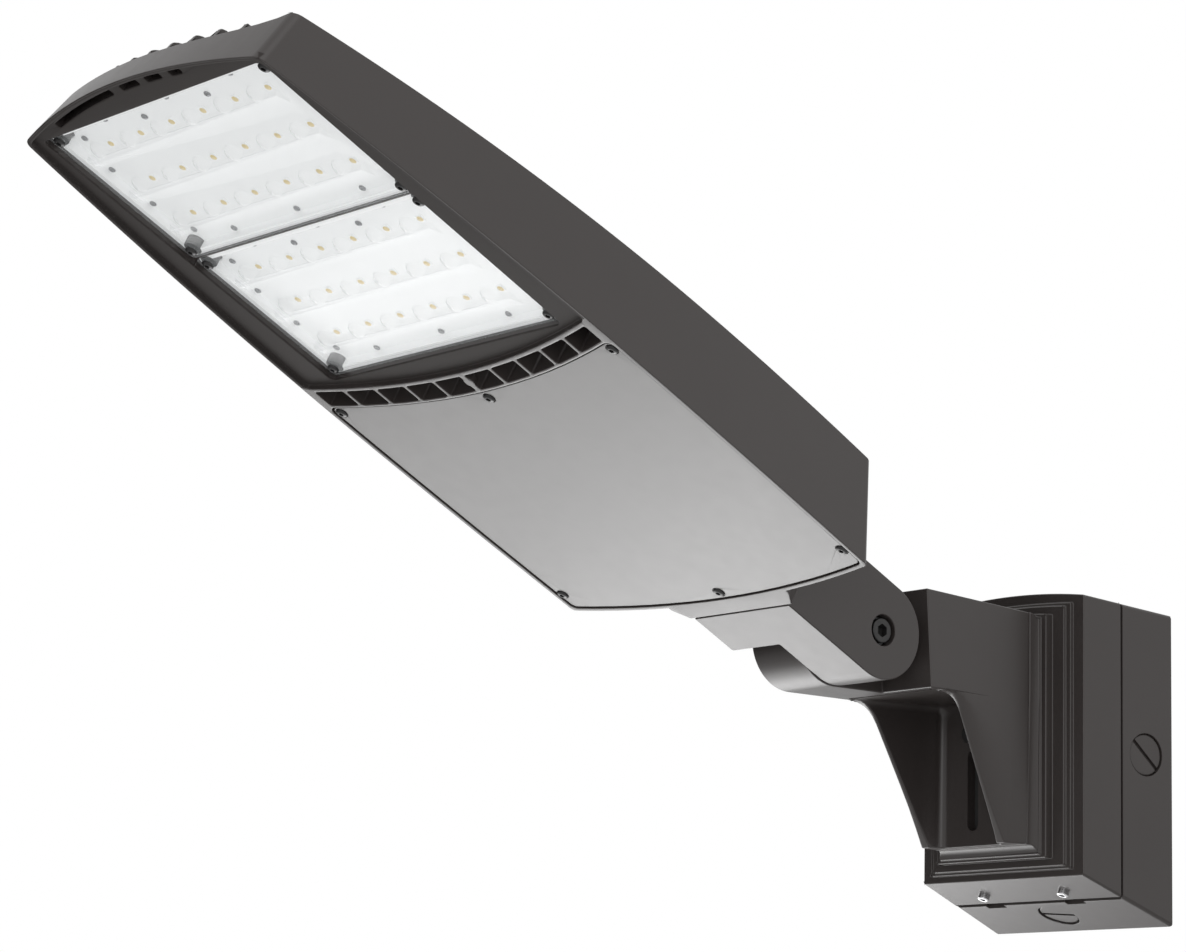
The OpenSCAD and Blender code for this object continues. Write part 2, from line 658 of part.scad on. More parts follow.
// The knuckle: a hollow block on the head's back, and a round end on one side
module head_knuckle() color([0.19, 0.175, 0.165]) in_head() difference() {
    union() {
        translate([wide_end, -half, 0]) cube([end_u - wide_end, knuckle_w, knuckle_h]);
        across(joint_gap / 2, half) translate([-pivot_u, knuckle_r]) {
            circle(r = knuckle_r, $fn = 96);
            translate([0, -knuckle_r]) square([step_l + cut, knuckle_h]);
        }
    }
    // hollow for the wires
    translate([wide_end + knuckle_wall, knuckle_wall - half, knuckle_wall])
        cube([end_u - end_t - wide_end - knuckle_wall, knuckle_w - 2 * knuckle_wall,
              knuckle_h - 2 * knuckle_wall]);
    translate([0, 0, knuckle_r]) bar_x(grommet_r + run_gap, end_u - end_t - cut, end_u + cut);
    translate([-pivot_u, 0, knuckle_r]) {
        bar_y(pivot_bolt_r + run_gap, -cut, half + cut);
        bar_y(pivot_recess_r, half - pivot_recess, half + cut);
        translate([0, knuckle_wall * 2, 0]) wire_slot(90, 3 * knuckle_wall);
        translate([0, knuckle_wall, -wire_way_h / 2])
            cube([step_l + knuckle_wall + cut, knuckle_wall * 2, wire_way_h]);
    }
    at_knuckle_bolts() bar_x(knuckle_bolt_r + run_gap, end_u - end_t - cut, end_u + cut);
}

module knuckle_seal() color([0.05, 0.05, 0.05]) in_head() difference() {
    translate([end_u, 1 - half, 1]) cube([seal_t, knuckle_w - 2, seat_h - 2]);
    translate([0, 0, knuckle_r]) bar_x(grommet_r + 2, end_u - cut, seat_u + cut);
    at_knuckle_bolts() bar_x(knuckle_bolt_r + 0.3, end_u - cut, seat_u + cut);
}

module knuckle_bolts() color([0.14, 0.14, 0.14]) in_head() at_knuckle_bolts() {
    bar_x(knuckle_bolt_r, end_u - end_t + 1, knuckle_boss_u);
    bar_x(knuckle_bolt_r * 1.6, knuckle_boss_u, knuckle_boss_u + knuckle_head_t);
}

module knuckle_grommet() color([0.08, 0.08, 0.08]) in_head() translate([0, 0, knuckle_r]) difference() {
    bar_x(grommet_r, end_u - end_t, seat_u + grommet_in);
    bar_x(grommet_r - 3, end_u - end_t - cut, seat_u + grommet_in + cut);
}

// Pivot: a socket bolt from the knuckle's side, a washer, and a nut in the drum
module at_pivot() translate([pivot_x, 0, pivot_z]) children();
nut_pocket_r = 13;
bolt_head_at = half - pivot_recess + washer_t;
module pivot_bolt() color([0.1, 0.1, 0.1]) at_pivot() difference() {
    union() {
        bar_y(pivot_bolt_r, -half + 2, bolt_head_at + cut);
        bar_y(pivot_bolt_r * 1.6, bolt_head_at, bolt_head_at + bolt_head_t);
    }
    translate([0, half + cut, 0]) rotate([90, 0, 0]) cylinder(r = pivot_bolt_r, h = bolt_head_t - 1, $fn = 6);
}

module pivot_washer() color([0.35, 0.35, 0.35]) at_pivot() difference() {
    bar_y(pivot_recess_r - 1, half - pivot_recess + joint_gap, bolt_head_at);
    bar_y(pivot_bolt_r + run_gap, 0, half);
}

module pivot_nut() color([0.3, 0.3, 0.3]) at_pivot() difference() {
    translate([0, -half + nut_t, 0]) rotate([90, 0, 0])
        cylinder(r = pivot_bolt_r * 1.9, h = nut_t - 1, $fn = 6);
    bar_y(pivot_bolt_r + run_gap, -half - cut, 0);
}

// The arm's back, drawn in by the inset i, which the seal and the bracket's root share
arm_end = drum_r - arm_fall;
web_start = 8 - drum_r;    // level where the webs start inside the arm
back_half = half - 3;      // half width of the arm's back at its lower edge
function arm_back(i) = [
    [i - back_half, i - web_drop], [back_half - i, i - web_drop], [half - i, web_start],
    [half - i, arm_end - i], [i - half, arm_end - i], [i - half, web_start]
];

// Front edge of the webs: [X, Z, half width]
web_tip = [19 - arm_l, -web_drop, half - web_lean];
web_edge = [
    [-shoulder_l - 13.5, -drum_r, half - 1], [-shoulder_l - 25, -drum_r - 2.5, half - 3.5],
    [-shoulder_l - 32, -drum_r - 6.5, half - 4.5], [-shoulder_l - 37, -drum_r - 12, half - 5], web_tip
];
module webs() hull() {
    along(-arm_l, -arm_l + thin) polygon(arm_back(0));
    translate([-arm_l, -half, web_start]) cube([arm_l + web_edge[0].x, knuckle_w, thin]);
    for (p = web_edge) translate([p.x, -p.z, p.y]) cube([thin, 2 * p.z, thin]);
}

// Pocket between the webs, with rounded inner edges; it opens forwards and downwards
pocket_r = 7;
pocket_top = drum_r - 1;   // depth of its ceiling below the pivot
module pocket_slice(x, z, w) translate([x, -w, z]) cube([thin, 2 * w, thin]);
module pocket() hull() {
    for (a = [0:30:90]) let (x = arm_face + pocket_r * (1 - cos(a)), w = pocket_half + pocket_r * sin(a))
        along(x, x + thin)
            translate([-w, -web_drop - cut])
                square([2 * w, web_drop + cut - pocket_top - pocket_r * (1 - sin(a))]);
    pocket_slice(-shoulder_l - 8, -pocket_top - thin, half - 5.5);
    pocket_slice(-shoulder_l - 36, -drum_r - 12, half - 7);
    pocket_slice(web_tip.x + 1.5, web_tip.y - cut, web_tip.z - 2);
}
module tilt_arm() color([0.19, 0.175, 0.165]) at_pivot() difference() {
    union() {
        across(-half, -joint_gap / 2) {
            circle(r = drum_r, $fn = 96);
            polygon([[-arm_l, -drum_r], [0, -drum_r], [0, drum_r], [-arm_l, arm_end]]);
        }
        across(-half, half)
            polygon([[-arm_l, -drum_r], [-shoulder_l, -drum_r], [shoulder_lean - shoulder_l, drum_r - 1],
                     [-arm_l, arm_end]]);
        webs();
    }
    pocket();
    // hollow of the arm and of the drum, around the bolt's boss
    across(knuckle_wall - half, half - knuckle_wall)
        polygon([[arm_face, knuckle_wall - drum_r], [-shoulder_l - knuckle_wall, knuckle_wall - drum_r],
                 [-shoulder_l - knuckle_wall, drum_r - knuckle_wall - 3], [arm_face, arm_end - knuckle_wall]]);
    difference() {
        translate([-shoulder_l - knuckle_wall - cut, nut_t + 4 - half, -drum_r * 0.5])
            cube([shoulder_l + knuckle_wall + cut + 12, half - nut_t - 4 - knuckle_wall, drum_r]);
        bar_y(nut_pocket_r + 3, -half, 0);
    }
    bar_y(pivot_bolt_r + run_gap, -half - cut, cut);
    translate([0, -half + nut_t, 0]) rotate([90, 0, 0]) cylinder(r = nut_pocket_r, h = nut_t + cut);
    // curved slot for the wires, and the slot and bolt holes of the back plate
    translate([0, cut, 0]) wire_slot(60, knuckle_wall + 3 * cut);
    along(-arm_l - cut, web_t - arm_l + cut) {
        translate([0, -slot_top - slot_w / 2]) circle(d = slot_w);
        translate([0, -slot_bottom + slot_w / 2]) circle(d = slot_w);
        translate([-slot_w / 2, -slot_bottom + slot_w / 2]) square([slot_w, slot_bottom - slot_top - slot_w]);
    }
    at_arm_bolts() bar_x(arm_bolt_r + run_gap, -arm_l - cut, web_t - arm_l + cut);
    translate([0, 0, -drum_r * 0.5]) bar_x(wire_entry_r, -arm_l - cut, web_t - arm_l + cut);
}

module at_arm_bolts() for (z = [-bolt_drop, bolt_rise]) translate([0, 0, z]) children();
arm_bolt_head_t = 5.3;
arm_washer_t = 1.5;
arm_nut_t = 6.5;
root_wall = 8;        // thickness of the bracket where the arm is bolted on
arm_face = web_t - arm_l;
nut_face = -arm_l - seal_t - root_wall;

module arm_bolts() color([0.12, 0.12, 0.12]) at_pivot() at_arm_bolts() {
    bar_x(arm_bolt_r, nut_face - arm_nut_t - 1, arm_face + arm_washer_t);
    translate([arm_face + arm_washer_t, 0, 0]) rotate([0, 90, 0])
        cylinder(d = arm_bolt_flats / cos(30), h = arm_bolt_head_t, $fn = 6);
}
module arm_washers() color([0.3, 0.3, 0.3]) at_pivot() at_arm_bolts() difference() {
    bar_x(arm_bolt_flats * 0.62, arm_face, arm_face + arm_washer_t);
    bar_x(arm_bolt_r + run_gap, arm_face - cut, arm_face + arm_washer_t + cut);
}
module arm_nuts() color([0.3, 0.3, 0.3]) at_pivot() at_arm_bolts() difference() {
    translate([nut_face - arm_nut_t, 0, 0]) rotate([0, 90, 0])
        cylinder(d = arm_bolt_flats / cos(30), h = arm_nut_t, $fn = 6);
    bar_x(arm_bolt_r + run_gap, nut_face - arm_nut_t - cut, nut_face + cut);
}
module arm_seal() color([0.05, 0.05, 0.05]) at_pivot() difference() {
    along(-arm_l - seal_t, -arm_l) polygon(arm_back(1));
    at_arm_bolts() bar_x(arm_bolt_r + 0.3, -arm_l - seal_t - cut, cut - arm_l);
    translate([0, 0, -drum_r * 0.5]) bar_x(wire_entry_r, -arm_l - seal_t - cut, cut - arm_l);
}

// The box and the bracket taper together from the wall to the bracket's front face
function drawn(a, b, x) = a + (b - a) * x / bracket_d;
function arched(hw, bottom, top, rise) = concat([[-hw, bottom], [hw, bottom]],
    [for (y = steps(hw, -hw)) [y, top + rise * (1 - pow(y / hw, 2))]]);
module slice(x, i) along(x, x + thin)
    polygon(arched(drawn(box_half, bracket_half, x) - i, drawn(-box_half_h, -bracket_bottom, x) + i,
                   drawn(box_half_h, bracket_top, x) - i, arch_rise));
module drafted(x0, x1, i) hull() {
    slice(x0, i);
    slice(x1 - thin, i);
}
side_draft = atan((box_half - bracket_half) / bracket_d);
bottom_draft = atan((box_half_h - bracket_bottom) / bracket_d);
top_draft = atan((bracket_top - box_half_h) / bracket_d);

// Places on the walls of the box, with Z pointing out of the wall
module on_side(s) translate([entry_x, s * drawn(box_half, bracket_half, entry_x), entry_z])
    rotate([0, 0, -s * side_draft]) rotate([-s * 90, 0, 0]) children();
module on_bottom() translate([entry_x, 0, drawn(-box_half_h, -bracket_bottom, entry_x)])
    rotate([0, -bottom_draft, 0]) rotate([180, 0, 0]) children();
module on_top() translate([entry_x, 0, drawn(box_half_h, bracket_top, entry_x) + arch_rise])
    rotate([0, -top_draft, 0]) children();

entry_boss_l = 14;
entry_boss_t = 5;
module entry_boss() translate([0, 0, -entry_boss_l]) cylinder(r = entry_r + entry_boss_t, h = entry_boss_l);
module entry_hole()
    translate([0, 0, -entry_boss_l - cut]) cylinder(r = entry_r + run_gap, h = entry_boss_l + 8 * cut);
module plug() difference() {
    translate([0, 0, -entry_boss_l]) cylinder(r = entry_r, h = entry_boss_l - plug_recess);
    translate([-entry_r - cut, -1.6, -plug_recess - 2.5]) cube([2 * entry_r + 2 * cut, 3.2, 4]);
}

ground_y = 40;
notch_d = 6;
notch_w = 20;
module conduit_box() color([0.18, 0.17, 0.165]) difference() {
    union() {
        difference() {
            drafted(0, box_d, 0);
            drafted(box_wall, box_d + cut, box_wall);
        }
        intersection() {
            drafted(0, box_d, 1);
            union() {
                on_side(1) entry_boss();
                on_side(-1) entry_boss();
                on_bottom() entry_boss();
                on_top() entry_boss();
            }
        }
        translate([0, ground_y, -ground_y]) bar_x(post_r, 1, box_wall + 6);
    }
    on_side(1) entry_hole();
    on_side(-1) entry_hole();
    on_bottom() entry_hole();
    on_top() entry_hole();
    for (y = [-1, 1], z = [-1, 1]) translate([0, y * wall_hole_y / 2, z * wall_hole_z / 2])
        bar_x(wall_hole_r, -cut, box_wall + cut);
    translate([0, 0, wire_entry_z]) bar_x(wire_entry_r, -cut, box_wall + cut);
    translate([0, ground_y, -ground_y]) bar_x(small_screw_r + run_gap, 3, box_wall + 6 + cut);
    // notches for a wrench beside the clamping screws
    for (y = [-1, 1]) translate([box_d - notch_d, y * clamp_pitch / 2 - 0.8 * notch_w, -2 * box_half_h])
        cube([notch_d + cut, notch_w,
              2 * box_half_h + drawn(-box_half_h, -bracket_bottom, box_d) + box_wall / 2]);
}

module ground_screw() color([0.15, 0.5, 0.25]) translate([0, ground_y, -ground_y]) {
    bar_x(small_screw_r, 3 + 1, box_wall + 6);
    bar_x(small_head_r, box_wall + 6, box_wall + 9);
}

module side_plugs() color([0.2, 0.19, 0.18]) for (s = [-1, 1]) on_side(s) plug();
module bottom_plug() color([0.2, 0.19, 0.18]) on_bottom() plug();
module top_plug() color([0.2, 0.19, 0.18]) on_top() plug();

module bracket_seal() color([0.04, 0.04, 0.04]) difference() {
    drafted(box_d, box_d + seal_t, 2);
    drafted(box_d - cut, box_d + seal_t + cut, box_wall);
}

// The bracket: a hollow cover with tiers on its front and a root for the arm
bracket_back = box_d + seal_t;
root_top = pivot_z + arm_end;
root_bottom = pivot_z - web_drop;
root_foot = tiers[3].y - 1;      // where the root starts, inside the last tier
root_side = bracket_half - tiers[3].x - 0.5;
module tier(inset, h)
    along(bracket_d - cut, bracket_d + h)
        polygon(arched(bracket_half - inset, inset / 2 - bracket_bottom,
                       bracket_top - inset / 2, arch_rise / 2));
module wall_bracket() color([0.19, 0.175, 0.165]) difference() {
    union() {
        drafted(bracket_back, bracket_d, 0);
        for (t = tiers) tier(t[0], t[1]);
        hull() {
            along(bracket_d + root_foot, bracket_d + root_foot + thin)
                translate([-root_side, tiers[3].x / 2 - bracket_bottom + 0.5])
                    square([2 * root_side, bracket_top + bracket_bottom - tiers[3].x - 1]);
            along(bracket_d + root_l - thin, bracket_d + root_l) translate([0, pivot_z]) polygon(arm_back(0));
        }
    }
    drafted(bracket_back - cut, bracket_d - box_wall, box_wall);
    // hollow of the root
    translate([bracket_d - box_wall - cut, root_wall - half, root_bottom + root_wall])
        cube([root_l + box_wall + cut - root_wall, knuckle_w - 2 * root_wall,
              root_top - root_bottom - 2 * root_wall]);
    translate([pivot_x, 0, pivot_z]) {
        at_arm_bolts() bar_x(arm_bolt_r + run_gap, -pivot_x, 0);
        translate([0, 0, -drum_r * 0.5]) bar_x(wire_entry_r, nut_face - cut, -arm_l);
    }
    at_clamp_screws() cylinder(r = clamp_screw_r + run_gap, h = 4 * box_wall, center = true);
}

clamp_x = 67;         // from the wall to the clamping screws
clamp_out = 5;        // how far they stand out below the bracket
clamp_in = 11;        // how far they reach into it
module at_clamp_screws() for (y = [-1, 1])
    translate([clamp_x, y * clamp_pitch / 2, drawn(-box_half_h, -bracket_bottom, clamp_x)])
        rotate([0, -bottom_draft, 0]) children();
module clamp_screws() color([0.85, 0.85, 0.86]) at_clamp_screws() difference() {
    translate([0, 0, -clamp_out]) cylinder(r = clamp_screw_r, h = clamp_out + clamp_in);
    translate([0, 0, -clamp_out - cut]) cylinder(r = clamp_screw_r * 0.55, h = clamp_out, $fn = 6);
}

housing();
driver_door();
door_seal();
door_screws();
front_led_board();
rear_led_board();
front_led_chips();
rear_led_chips();
front_lens_plate();
rear_lens_plate();
front_lens_seal();
rear_lens_seal();
lens_screws();
board_screws();
led_driver();
driver_screws();
surge_protector();
terminal_block();
head_knuckle();
knuckle_seal();
knuckle_bolts();
knuckle_grommet();
pivot_bolt();
pivot_washer();
pivot_nut();
tilt_arm();
arm_seal();
arm_bolts();
arm_washers();
arm_nuts();
wall_bracket();
bracket_seal();
clamp_screws();
conduit_box();
side_plugs();
bottom_plug();
top_plug();
ground_screw();
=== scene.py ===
# %% [markdown]
# # Shoebox area light
#
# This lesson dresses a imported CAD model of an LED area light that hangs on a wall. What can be
# seen is modelled again here with soft edges and real finishes, and what is hidden keeps its CAD
# shape and gets a finish.

# %% Load the CAD model as a fixed frame
import json
from math import atan2, cos, hypot, pi, radians, sin, sqrt, tan

import bmesh
import bpy
from mathutils import Matrix, Vector

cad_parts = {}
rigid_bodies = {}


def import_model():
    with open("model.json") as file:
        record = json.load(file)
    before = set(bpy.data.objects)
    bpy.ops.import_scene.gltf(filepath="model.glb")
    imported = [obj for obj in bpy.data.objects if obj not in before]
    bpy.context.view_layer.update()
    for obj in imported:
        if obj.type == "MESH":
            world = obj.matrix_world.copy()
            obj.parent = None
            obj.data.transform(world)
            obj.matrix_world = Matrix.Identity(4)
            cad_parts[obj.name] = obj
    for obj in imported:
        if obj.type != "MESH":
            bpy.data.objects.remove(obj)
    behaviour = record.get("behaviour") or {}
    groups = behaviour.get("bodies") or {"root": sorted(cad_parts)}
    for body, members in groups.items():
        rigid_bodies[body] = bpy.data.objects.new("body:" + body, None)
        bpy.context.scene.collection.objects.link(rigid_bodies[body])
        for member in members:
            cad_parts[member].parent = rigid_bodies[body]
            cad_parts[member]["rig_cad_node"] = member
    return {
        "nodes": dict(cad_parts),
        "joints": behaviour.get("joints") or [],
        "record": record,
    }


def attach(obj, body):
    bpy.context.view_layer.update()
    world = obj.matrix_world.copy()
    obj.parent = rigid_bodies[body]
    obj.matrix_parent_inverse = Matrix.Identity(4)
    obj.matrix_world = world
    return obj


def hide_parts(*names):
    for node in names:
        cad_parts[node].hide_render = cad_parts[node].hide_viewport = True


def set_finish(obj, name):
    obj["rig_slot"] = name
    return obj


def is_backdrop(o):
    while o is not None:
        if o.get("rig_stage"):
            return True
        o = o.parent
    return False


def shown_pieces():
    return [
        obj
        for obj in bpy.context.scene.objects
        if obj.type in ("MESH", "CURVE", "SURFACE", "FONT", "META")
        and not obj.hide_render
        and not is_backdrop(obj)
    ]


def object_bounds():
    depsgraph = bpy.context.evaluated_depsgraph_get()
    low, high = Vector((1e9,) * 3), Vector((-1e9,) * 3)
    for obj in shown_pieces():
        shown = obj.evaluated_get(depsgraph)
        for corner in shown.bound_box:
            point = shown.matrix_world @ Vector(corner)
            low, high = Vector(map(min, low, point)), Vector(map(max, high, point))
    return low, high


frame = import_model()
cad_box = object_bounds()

print("CAD nodes:", len(frame["nodes"]))

# %% [markdown]
# The head is drawn in a frame of its own, because everything on it is square to its underside:
# U runs from its back to its front, V across it and W up through it. One matrix turns a finished
# piece about the pivot into the place where the head hangs at rest.

# %% Places of the pivot and the head
joint = frame["joints"][0]
pivot = Vector(joint["pos_m"])
tilt = radians(-joint["range_deg"][0])
pivot_at = 0.1203       # from the head's back corners to the pivot, along the underside
knuckle_radius = 0.0375
on_head = (Matrix.Translation(pivot) @ Matrix.Rotation(-tilt, 4, "Y")
           @ Matrix.Translation((pivot_at, 0, -knuckle_radius)))
on_arm = Matrix.Translation(pivot)
on_wall = Matrix.Identity(4)
print("pivot", tuple(round(c, 4) for c in pivot), "tilt", round(tilt, 4))

# %% [markdown]
# Operators act on whatever is selected, and loading leaves every CAD node selected. So each step
# first lets go of everything and takes hold of one piece. Faces and edges are chosen in code, by
# a test on their place or their normal, which is what clicking on them does by hand.

# %% Take hold of a piece, and of its faces or edges
def let_go():
    if bpy.context.object and bpy.context.object.mode != "OBJECT":
        bpy.ops.object.mode_set(mode="OBJECT")
    bpy.ops.object.select_all(action="DESELECT")


def hold(piece):
    let_go()
    piece.select_set(True)
    bpy.context.view_layer.objects.active = piece


def choose(piece, kind, test):
    """Goes into edit mode with only the faces ("FACE") or edges ("EDGE") that pass the test selected."""
    hold(piece)
    bpy.ops.object.mode_set(mode="EDIT")
    bpy.ops.mesh.select_mode(type=kind)
    bpy.ops.mesh.select_all(action="DESELECT")
    mesh = bmesh.from_edit_mesh(piece.data)
    for part in mesh.faces if kind == "FACE" else mesh.edges:
        part.select_set(bool(test(part)))
    mesh.select_flush_mode()
    bmesh.update_edit_mesh(piece.data)


def middle_of(edge):
    return (edge.verts[0].co + edge.verts[1].co) / 2


print("selection helpers ready")

# %% [markdown]
# Most castings here are straight bars of some outline: the head's plan, the arm's side view, the
# bracket's front. A round face with one corner for each point of the outline is added, its
# corners go onto the outline, and the face is extruded. The three axes share one helper. Where the
# outline changes along the bar, as in drafted and flared castings, each extruded face is drawn to
# the next outline, which is a loft.

# %% Bars of any outline
def prism(name, outline, low, high, axis="w"):
    """Extrudes the outline from low to high along u (X), v (Y) or w (Z)."""
    put = {"u": lambda a, b, c: (c, a, b),
           "v": lambda a, b, c: (a, c, b),
           "w": lambda a, b, c: (a, b, c)}[axis]
    let_go()
    bpy.ops.mesh.primitive_circle_add(vertices=len(outline), radius=1, fill_type="NGON")
    piece = bpy.context.object
    piece.name = piece.data.name = name
    for corner, (a, b) in zip(piece.data.vertices, outline):
        corner.co = put(a, b, low)
    bpy.ops.object.mode_set(mode="EDIT")
    bpy.ops.mesh.select_all(action="SELECT")
    bpy.ops.mesh.extrude_region_move(TRANSFORM_OT_translate={"value": put(0, 0, high - low)})
    bpy.ops.mesh.select_all(action="SELECT")
    bpy.ops.mesh.normals_make_consistent(inside=False)
    bpy.ops.object.mode_set(mode="OBJECT")
    return piece


def block(name, low, high):
    """A square block between two corners."""
    outline = [(low[0], low[1]), (high[0], low[1]), (high[0], high[1]), (low[0], high[1])]
    return prism(name, outline, low[2], high[2])


def span(first, last, parts):
    return [first + (last - first) * k / parts for k in range(parts + 1)]


def nearest(corner, outline):
    """The number of the outline's point that a corner lies on, seen along u."""
    return min(range(len(outline)), key=lambda k: hypot(corner.y - outline[k][0], corner.z - outline[k][1]))


def lofted(name, rings):
    """A bar along u whose outline changes: pairs of a place and an outline, each with as many corners."""
    (start, outline), *others = rings
    let_go()
    bpy.ops.mesh.primitive_circle_add(vertices=len(outline), radius=1, fill_type="NGON")
    piece = bpy.context.object
    piece.name = piece.data.name = name
    for corner, (y, z) in zip(piece.data.vertices, outline):
        corner.co = (start, y, z)
    bpy.ops.object.mode_set(mode="EDIT")
    bpy.ops.mesh.select_all(action="SELECT")
    for place, following in others:
        bpy.ops.mesh.extrude_region_move(TRANSFORM_OT_translate={"value": (place - start, 0, 0)})
        mesh = bmesh.from_edit_mesh(piece.data)
        for corner in [corner for corner in mesh.verts if corner.select]:
            corner.co.y, corner.co.z = following[nearest(corner.co, outline)]
        bmesh.update_edit_mesh(piece.data)
        start, outline = place, following
    bpy.ops.mesh.select_all(action="SELECT")
    bpy.ops.mesh.normals_make_consistent(inside=False)
    bpy.ops.object.mode_set(mode="OBJECT")
    return piece


print("bar helpers ready")

# %% [markdown]
# Die-cast corners are never sharp. Where a corner belongs to an outline, it is rounded in the
# outline itself, which gives a cleaner mesh than a bevel after many cuts.

# %% Round the corners of an outline
def rounded(outline, radius, parts=6):
    """The outline with an arc in each corner. The radius is a number, or a function of the corner."""
    soft = []
    for k, corner in enumerate(outline):
        here = Vector(corner)
        way_back = (Vector(outline[k - 1]) - here).normalized()
        way_on = (Vector(outline[(k + 1) % len(outline)]) - here).normalized()
        turn = pi - way_back.angle(way_on)
        size = radius(corner) if callable(radius) else radius
        if turn < radians(20) or not size:
            soft.append(tuple(here))
            continue
        reach = size * tan(turn / 2)
        middle = here + (way_back + way_on).normalized() * size / cos(turn / 2)
        first, last = here + way_back * reach - middle, here + way_on * reach - middle
        for t in span(0, 1, parts):
            soft.append(tuple(middle + (first * sin((1 - t) * turn) + last * sin(t * turn)) / sin(turn)))
    return soft


print("corner helper ready")

# %% [markdown]
# Openings, recesses and joined forms are made with the Boolean modifier, applied at once. Round
# tools come from cylinders, and tools that don't touch one another are joined first, so that one
# modifier does the work of many.

# %% Cut, unite and copy pieces
def cut(piece, tool, operation="DIFFERENCE", keep=False):
    hold(piece)
    step = piece.modifiers.new("cut", "BOOLEAN")
    step.operation = operation
    step.solver = "EXACT"
    step.object = tool
    bpy.ops.object.modifier_apply(modifier=step.name)
    if not keep:
        bpy.data.objects.remove(tool)
    return piece


def joined(name, pieces):
    let_go()
    for piece in pieces:
        piece.select_set(True)
    bpy.context.view_layer.objects.active = pieces[0]
    if len(pieces) > 1:
        bpy.ops.object.join()
    pieces[0].name = pieces[0].data.name = name
    return pieces[0]


def round_bar(name, radius, start, length, axis="w", corners=32):
    """A round bar that starts at a place and runs along an axis."""
    turn = {"u": (0, pi / 2, 0), "v": (-pi / 2, 0, 0), "w": (0, 0, 0)}[axis]
    way = {"u": (1, 0, 0), "v": (0, 1, 0), "w": (0, 0, 1)}[axis]
    let_go()
    bpy.ops.mesh.primitive_cylinder_add(vertices=corners, radius=radius, depth=length, rotation=turn,
                                        location=Vector(start) + Vector(way) * length / 2)
    bpy.ops.object.transform_apply(location=True, rotation=True, scale=True)
    bpy.context.object.name = bpy.context.object.data.name = name
    return bpy.context.object


def copies(model, places):
    """A joined set of copies of the model, one at each place; the model itself goes."""
    made = []
    for place in places:
        hold(model)
        bpy.ops.object.duplicate_move(TRANSFORM_OT_translate={"value": place})
        bpy.ops.object.transform_apply(location=True, rotation=False, scale=False)
        made.append(bpy.context.object)
    name = model.name
    bpy.data.objects.remove(model)
    return joined(name, made)


print("cutting helpers ready")

# %% [markdown]
# Screws, bolts and plugs are round, so they come from a lathe: the profile of one side is spun
# about the axis. Its ends lie on the axis, and merging the doubles there closes the piece.

# %% Turn a round piece
def turned(name, profile, steps=40):
    """Spins a profile, pairs of radius and height with both ends on the axis, about the W axis."""
    let_go()
    bpy.ops.mesh.primitive_circle_add(vertices=len(profile), radius=1, fill_type="NOTHING")
    piece = bpy.context.object
    piece.name = piece.data.name = name
    for corner, (radius, height) in zip(piece.data.vertices, profile):
        corner.co = (radius, 0, height)
    choose(piece, "EDGE", lambda edge: all(corner.co.x < 1e-7 for corner in edge.verts))
    bpy.ops.mesh.delete(type="EDGE")
    bpy.ops.mesh.select_all(action="SELECT")
    bpy.ops.mesh.spin(steps=steps, angle=2 * pi, center=(0, 0, 0), axis=(0, 0, 1))
    bpy.ops.mesh.select_all(action="SELECT")
    bpy.ops.mesh.remove_doubles(threshold=1e-6)
    bpy.ops.mesh.normals_make_consistent(inside=False)
    bpy.ops.object.mode_set(mode="OBJECT")
    return piece


print("lathe ready")

# %% [markdown]
# Every casting ends the same way. Nearly doubled corners that the cuts left are merged, flat
# faces are dissolved into one, and a small bevel runs along all sharp edges, because it is the
# bevel that catches the light.

# %% Finish a piece
def soften(piece, width, segments=2, split=True):
    """Bevels the sharp edges. Flat faces are split into triangles first, unless that would show."""
    hold(piece)
    bpy.ops.object.mode_set(mode="EDIT")
    bpy.ops.mesh.select_all(action="SELECT")
    bpy.ops.mesh.remove_doubles(threshold=2e-5)
    bpy.ops.mesh.dissolve_limited(angle_limit=radians(0.2))
    if split:
        bpy.ops.mesh.quads_convert_to_tris()
    bpy.ops.object.mode_set(mode="OBJECT")
    edge = piece.modifiers.new("soft edges", "BEVEL")
    edge.width = width
    edge.segments = segments
    edge.limit_method = "ANGLE"
    edge.angle_limit = radians(32)
    edge.use_clamp_overlap = False
    edge.miter_outer = "MITER_ARC"
    bpy.ops.object.modifier_apply(modifier=edge.name)
    return piece


def settle(piece, body, slot, *nodes, place=on_head):
    hold(piece)
    piece.matrix_world = place
    bpy.ops.object.transform_apply(location=True, rotation=True, scale=True)
    bpy.ops.object.shade_smooth_by_angle(angle=radians(35))
    normals = piece.modifiers.new("even shading", "WEIGHTED_NORMAL")
    normals.keep_sharp = True
    bpy.ops.object.modifier_apply(modifier=normals.name)
    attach(piece, body)
    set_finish(piece, slot)
    if nodes:
        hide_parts(*nodes)
    piece.data.calc_loop_triangles()
    print(piece.name, "on", body, "-", len(piece.data.loop_triangles), "triangles")
    return piece


# %% [markdown]
# ## The head
#
# The head's plan is bounded by four shallow curves: the sides swell to their widest place and
# draw in towards the front, and the back and front edges bulge. All of its outlines, from the
# casting down to the door, come from these same curves, drawn in by an inset.

# %% Curves of the head
head_length = 0.592
head_width = 0.340
widest_at = 0.200
taper_back = 0.0025
taper_front = 0.024
back_bulge = 0.017
front_bulge = 0.021


def side_v(u, inset=0.0):
    if u < widest_at:
        return head_width / 2 - inset - taper_back * ((widest_at - u) / widest_at) ** 2
    return head_width / 2 - inset - taper_front * ((u - widest_at) / (head_length - widest_at)) ** 2


def back_u(v, inset=0.0):
    return inset - back_bulge * (1 - (v / side_v(0)) ** 2)


def front_u(v, inset=0.0):
    return head_length - inset + front_bulge * (1 - (v / side_v(head_length)) ** 2)


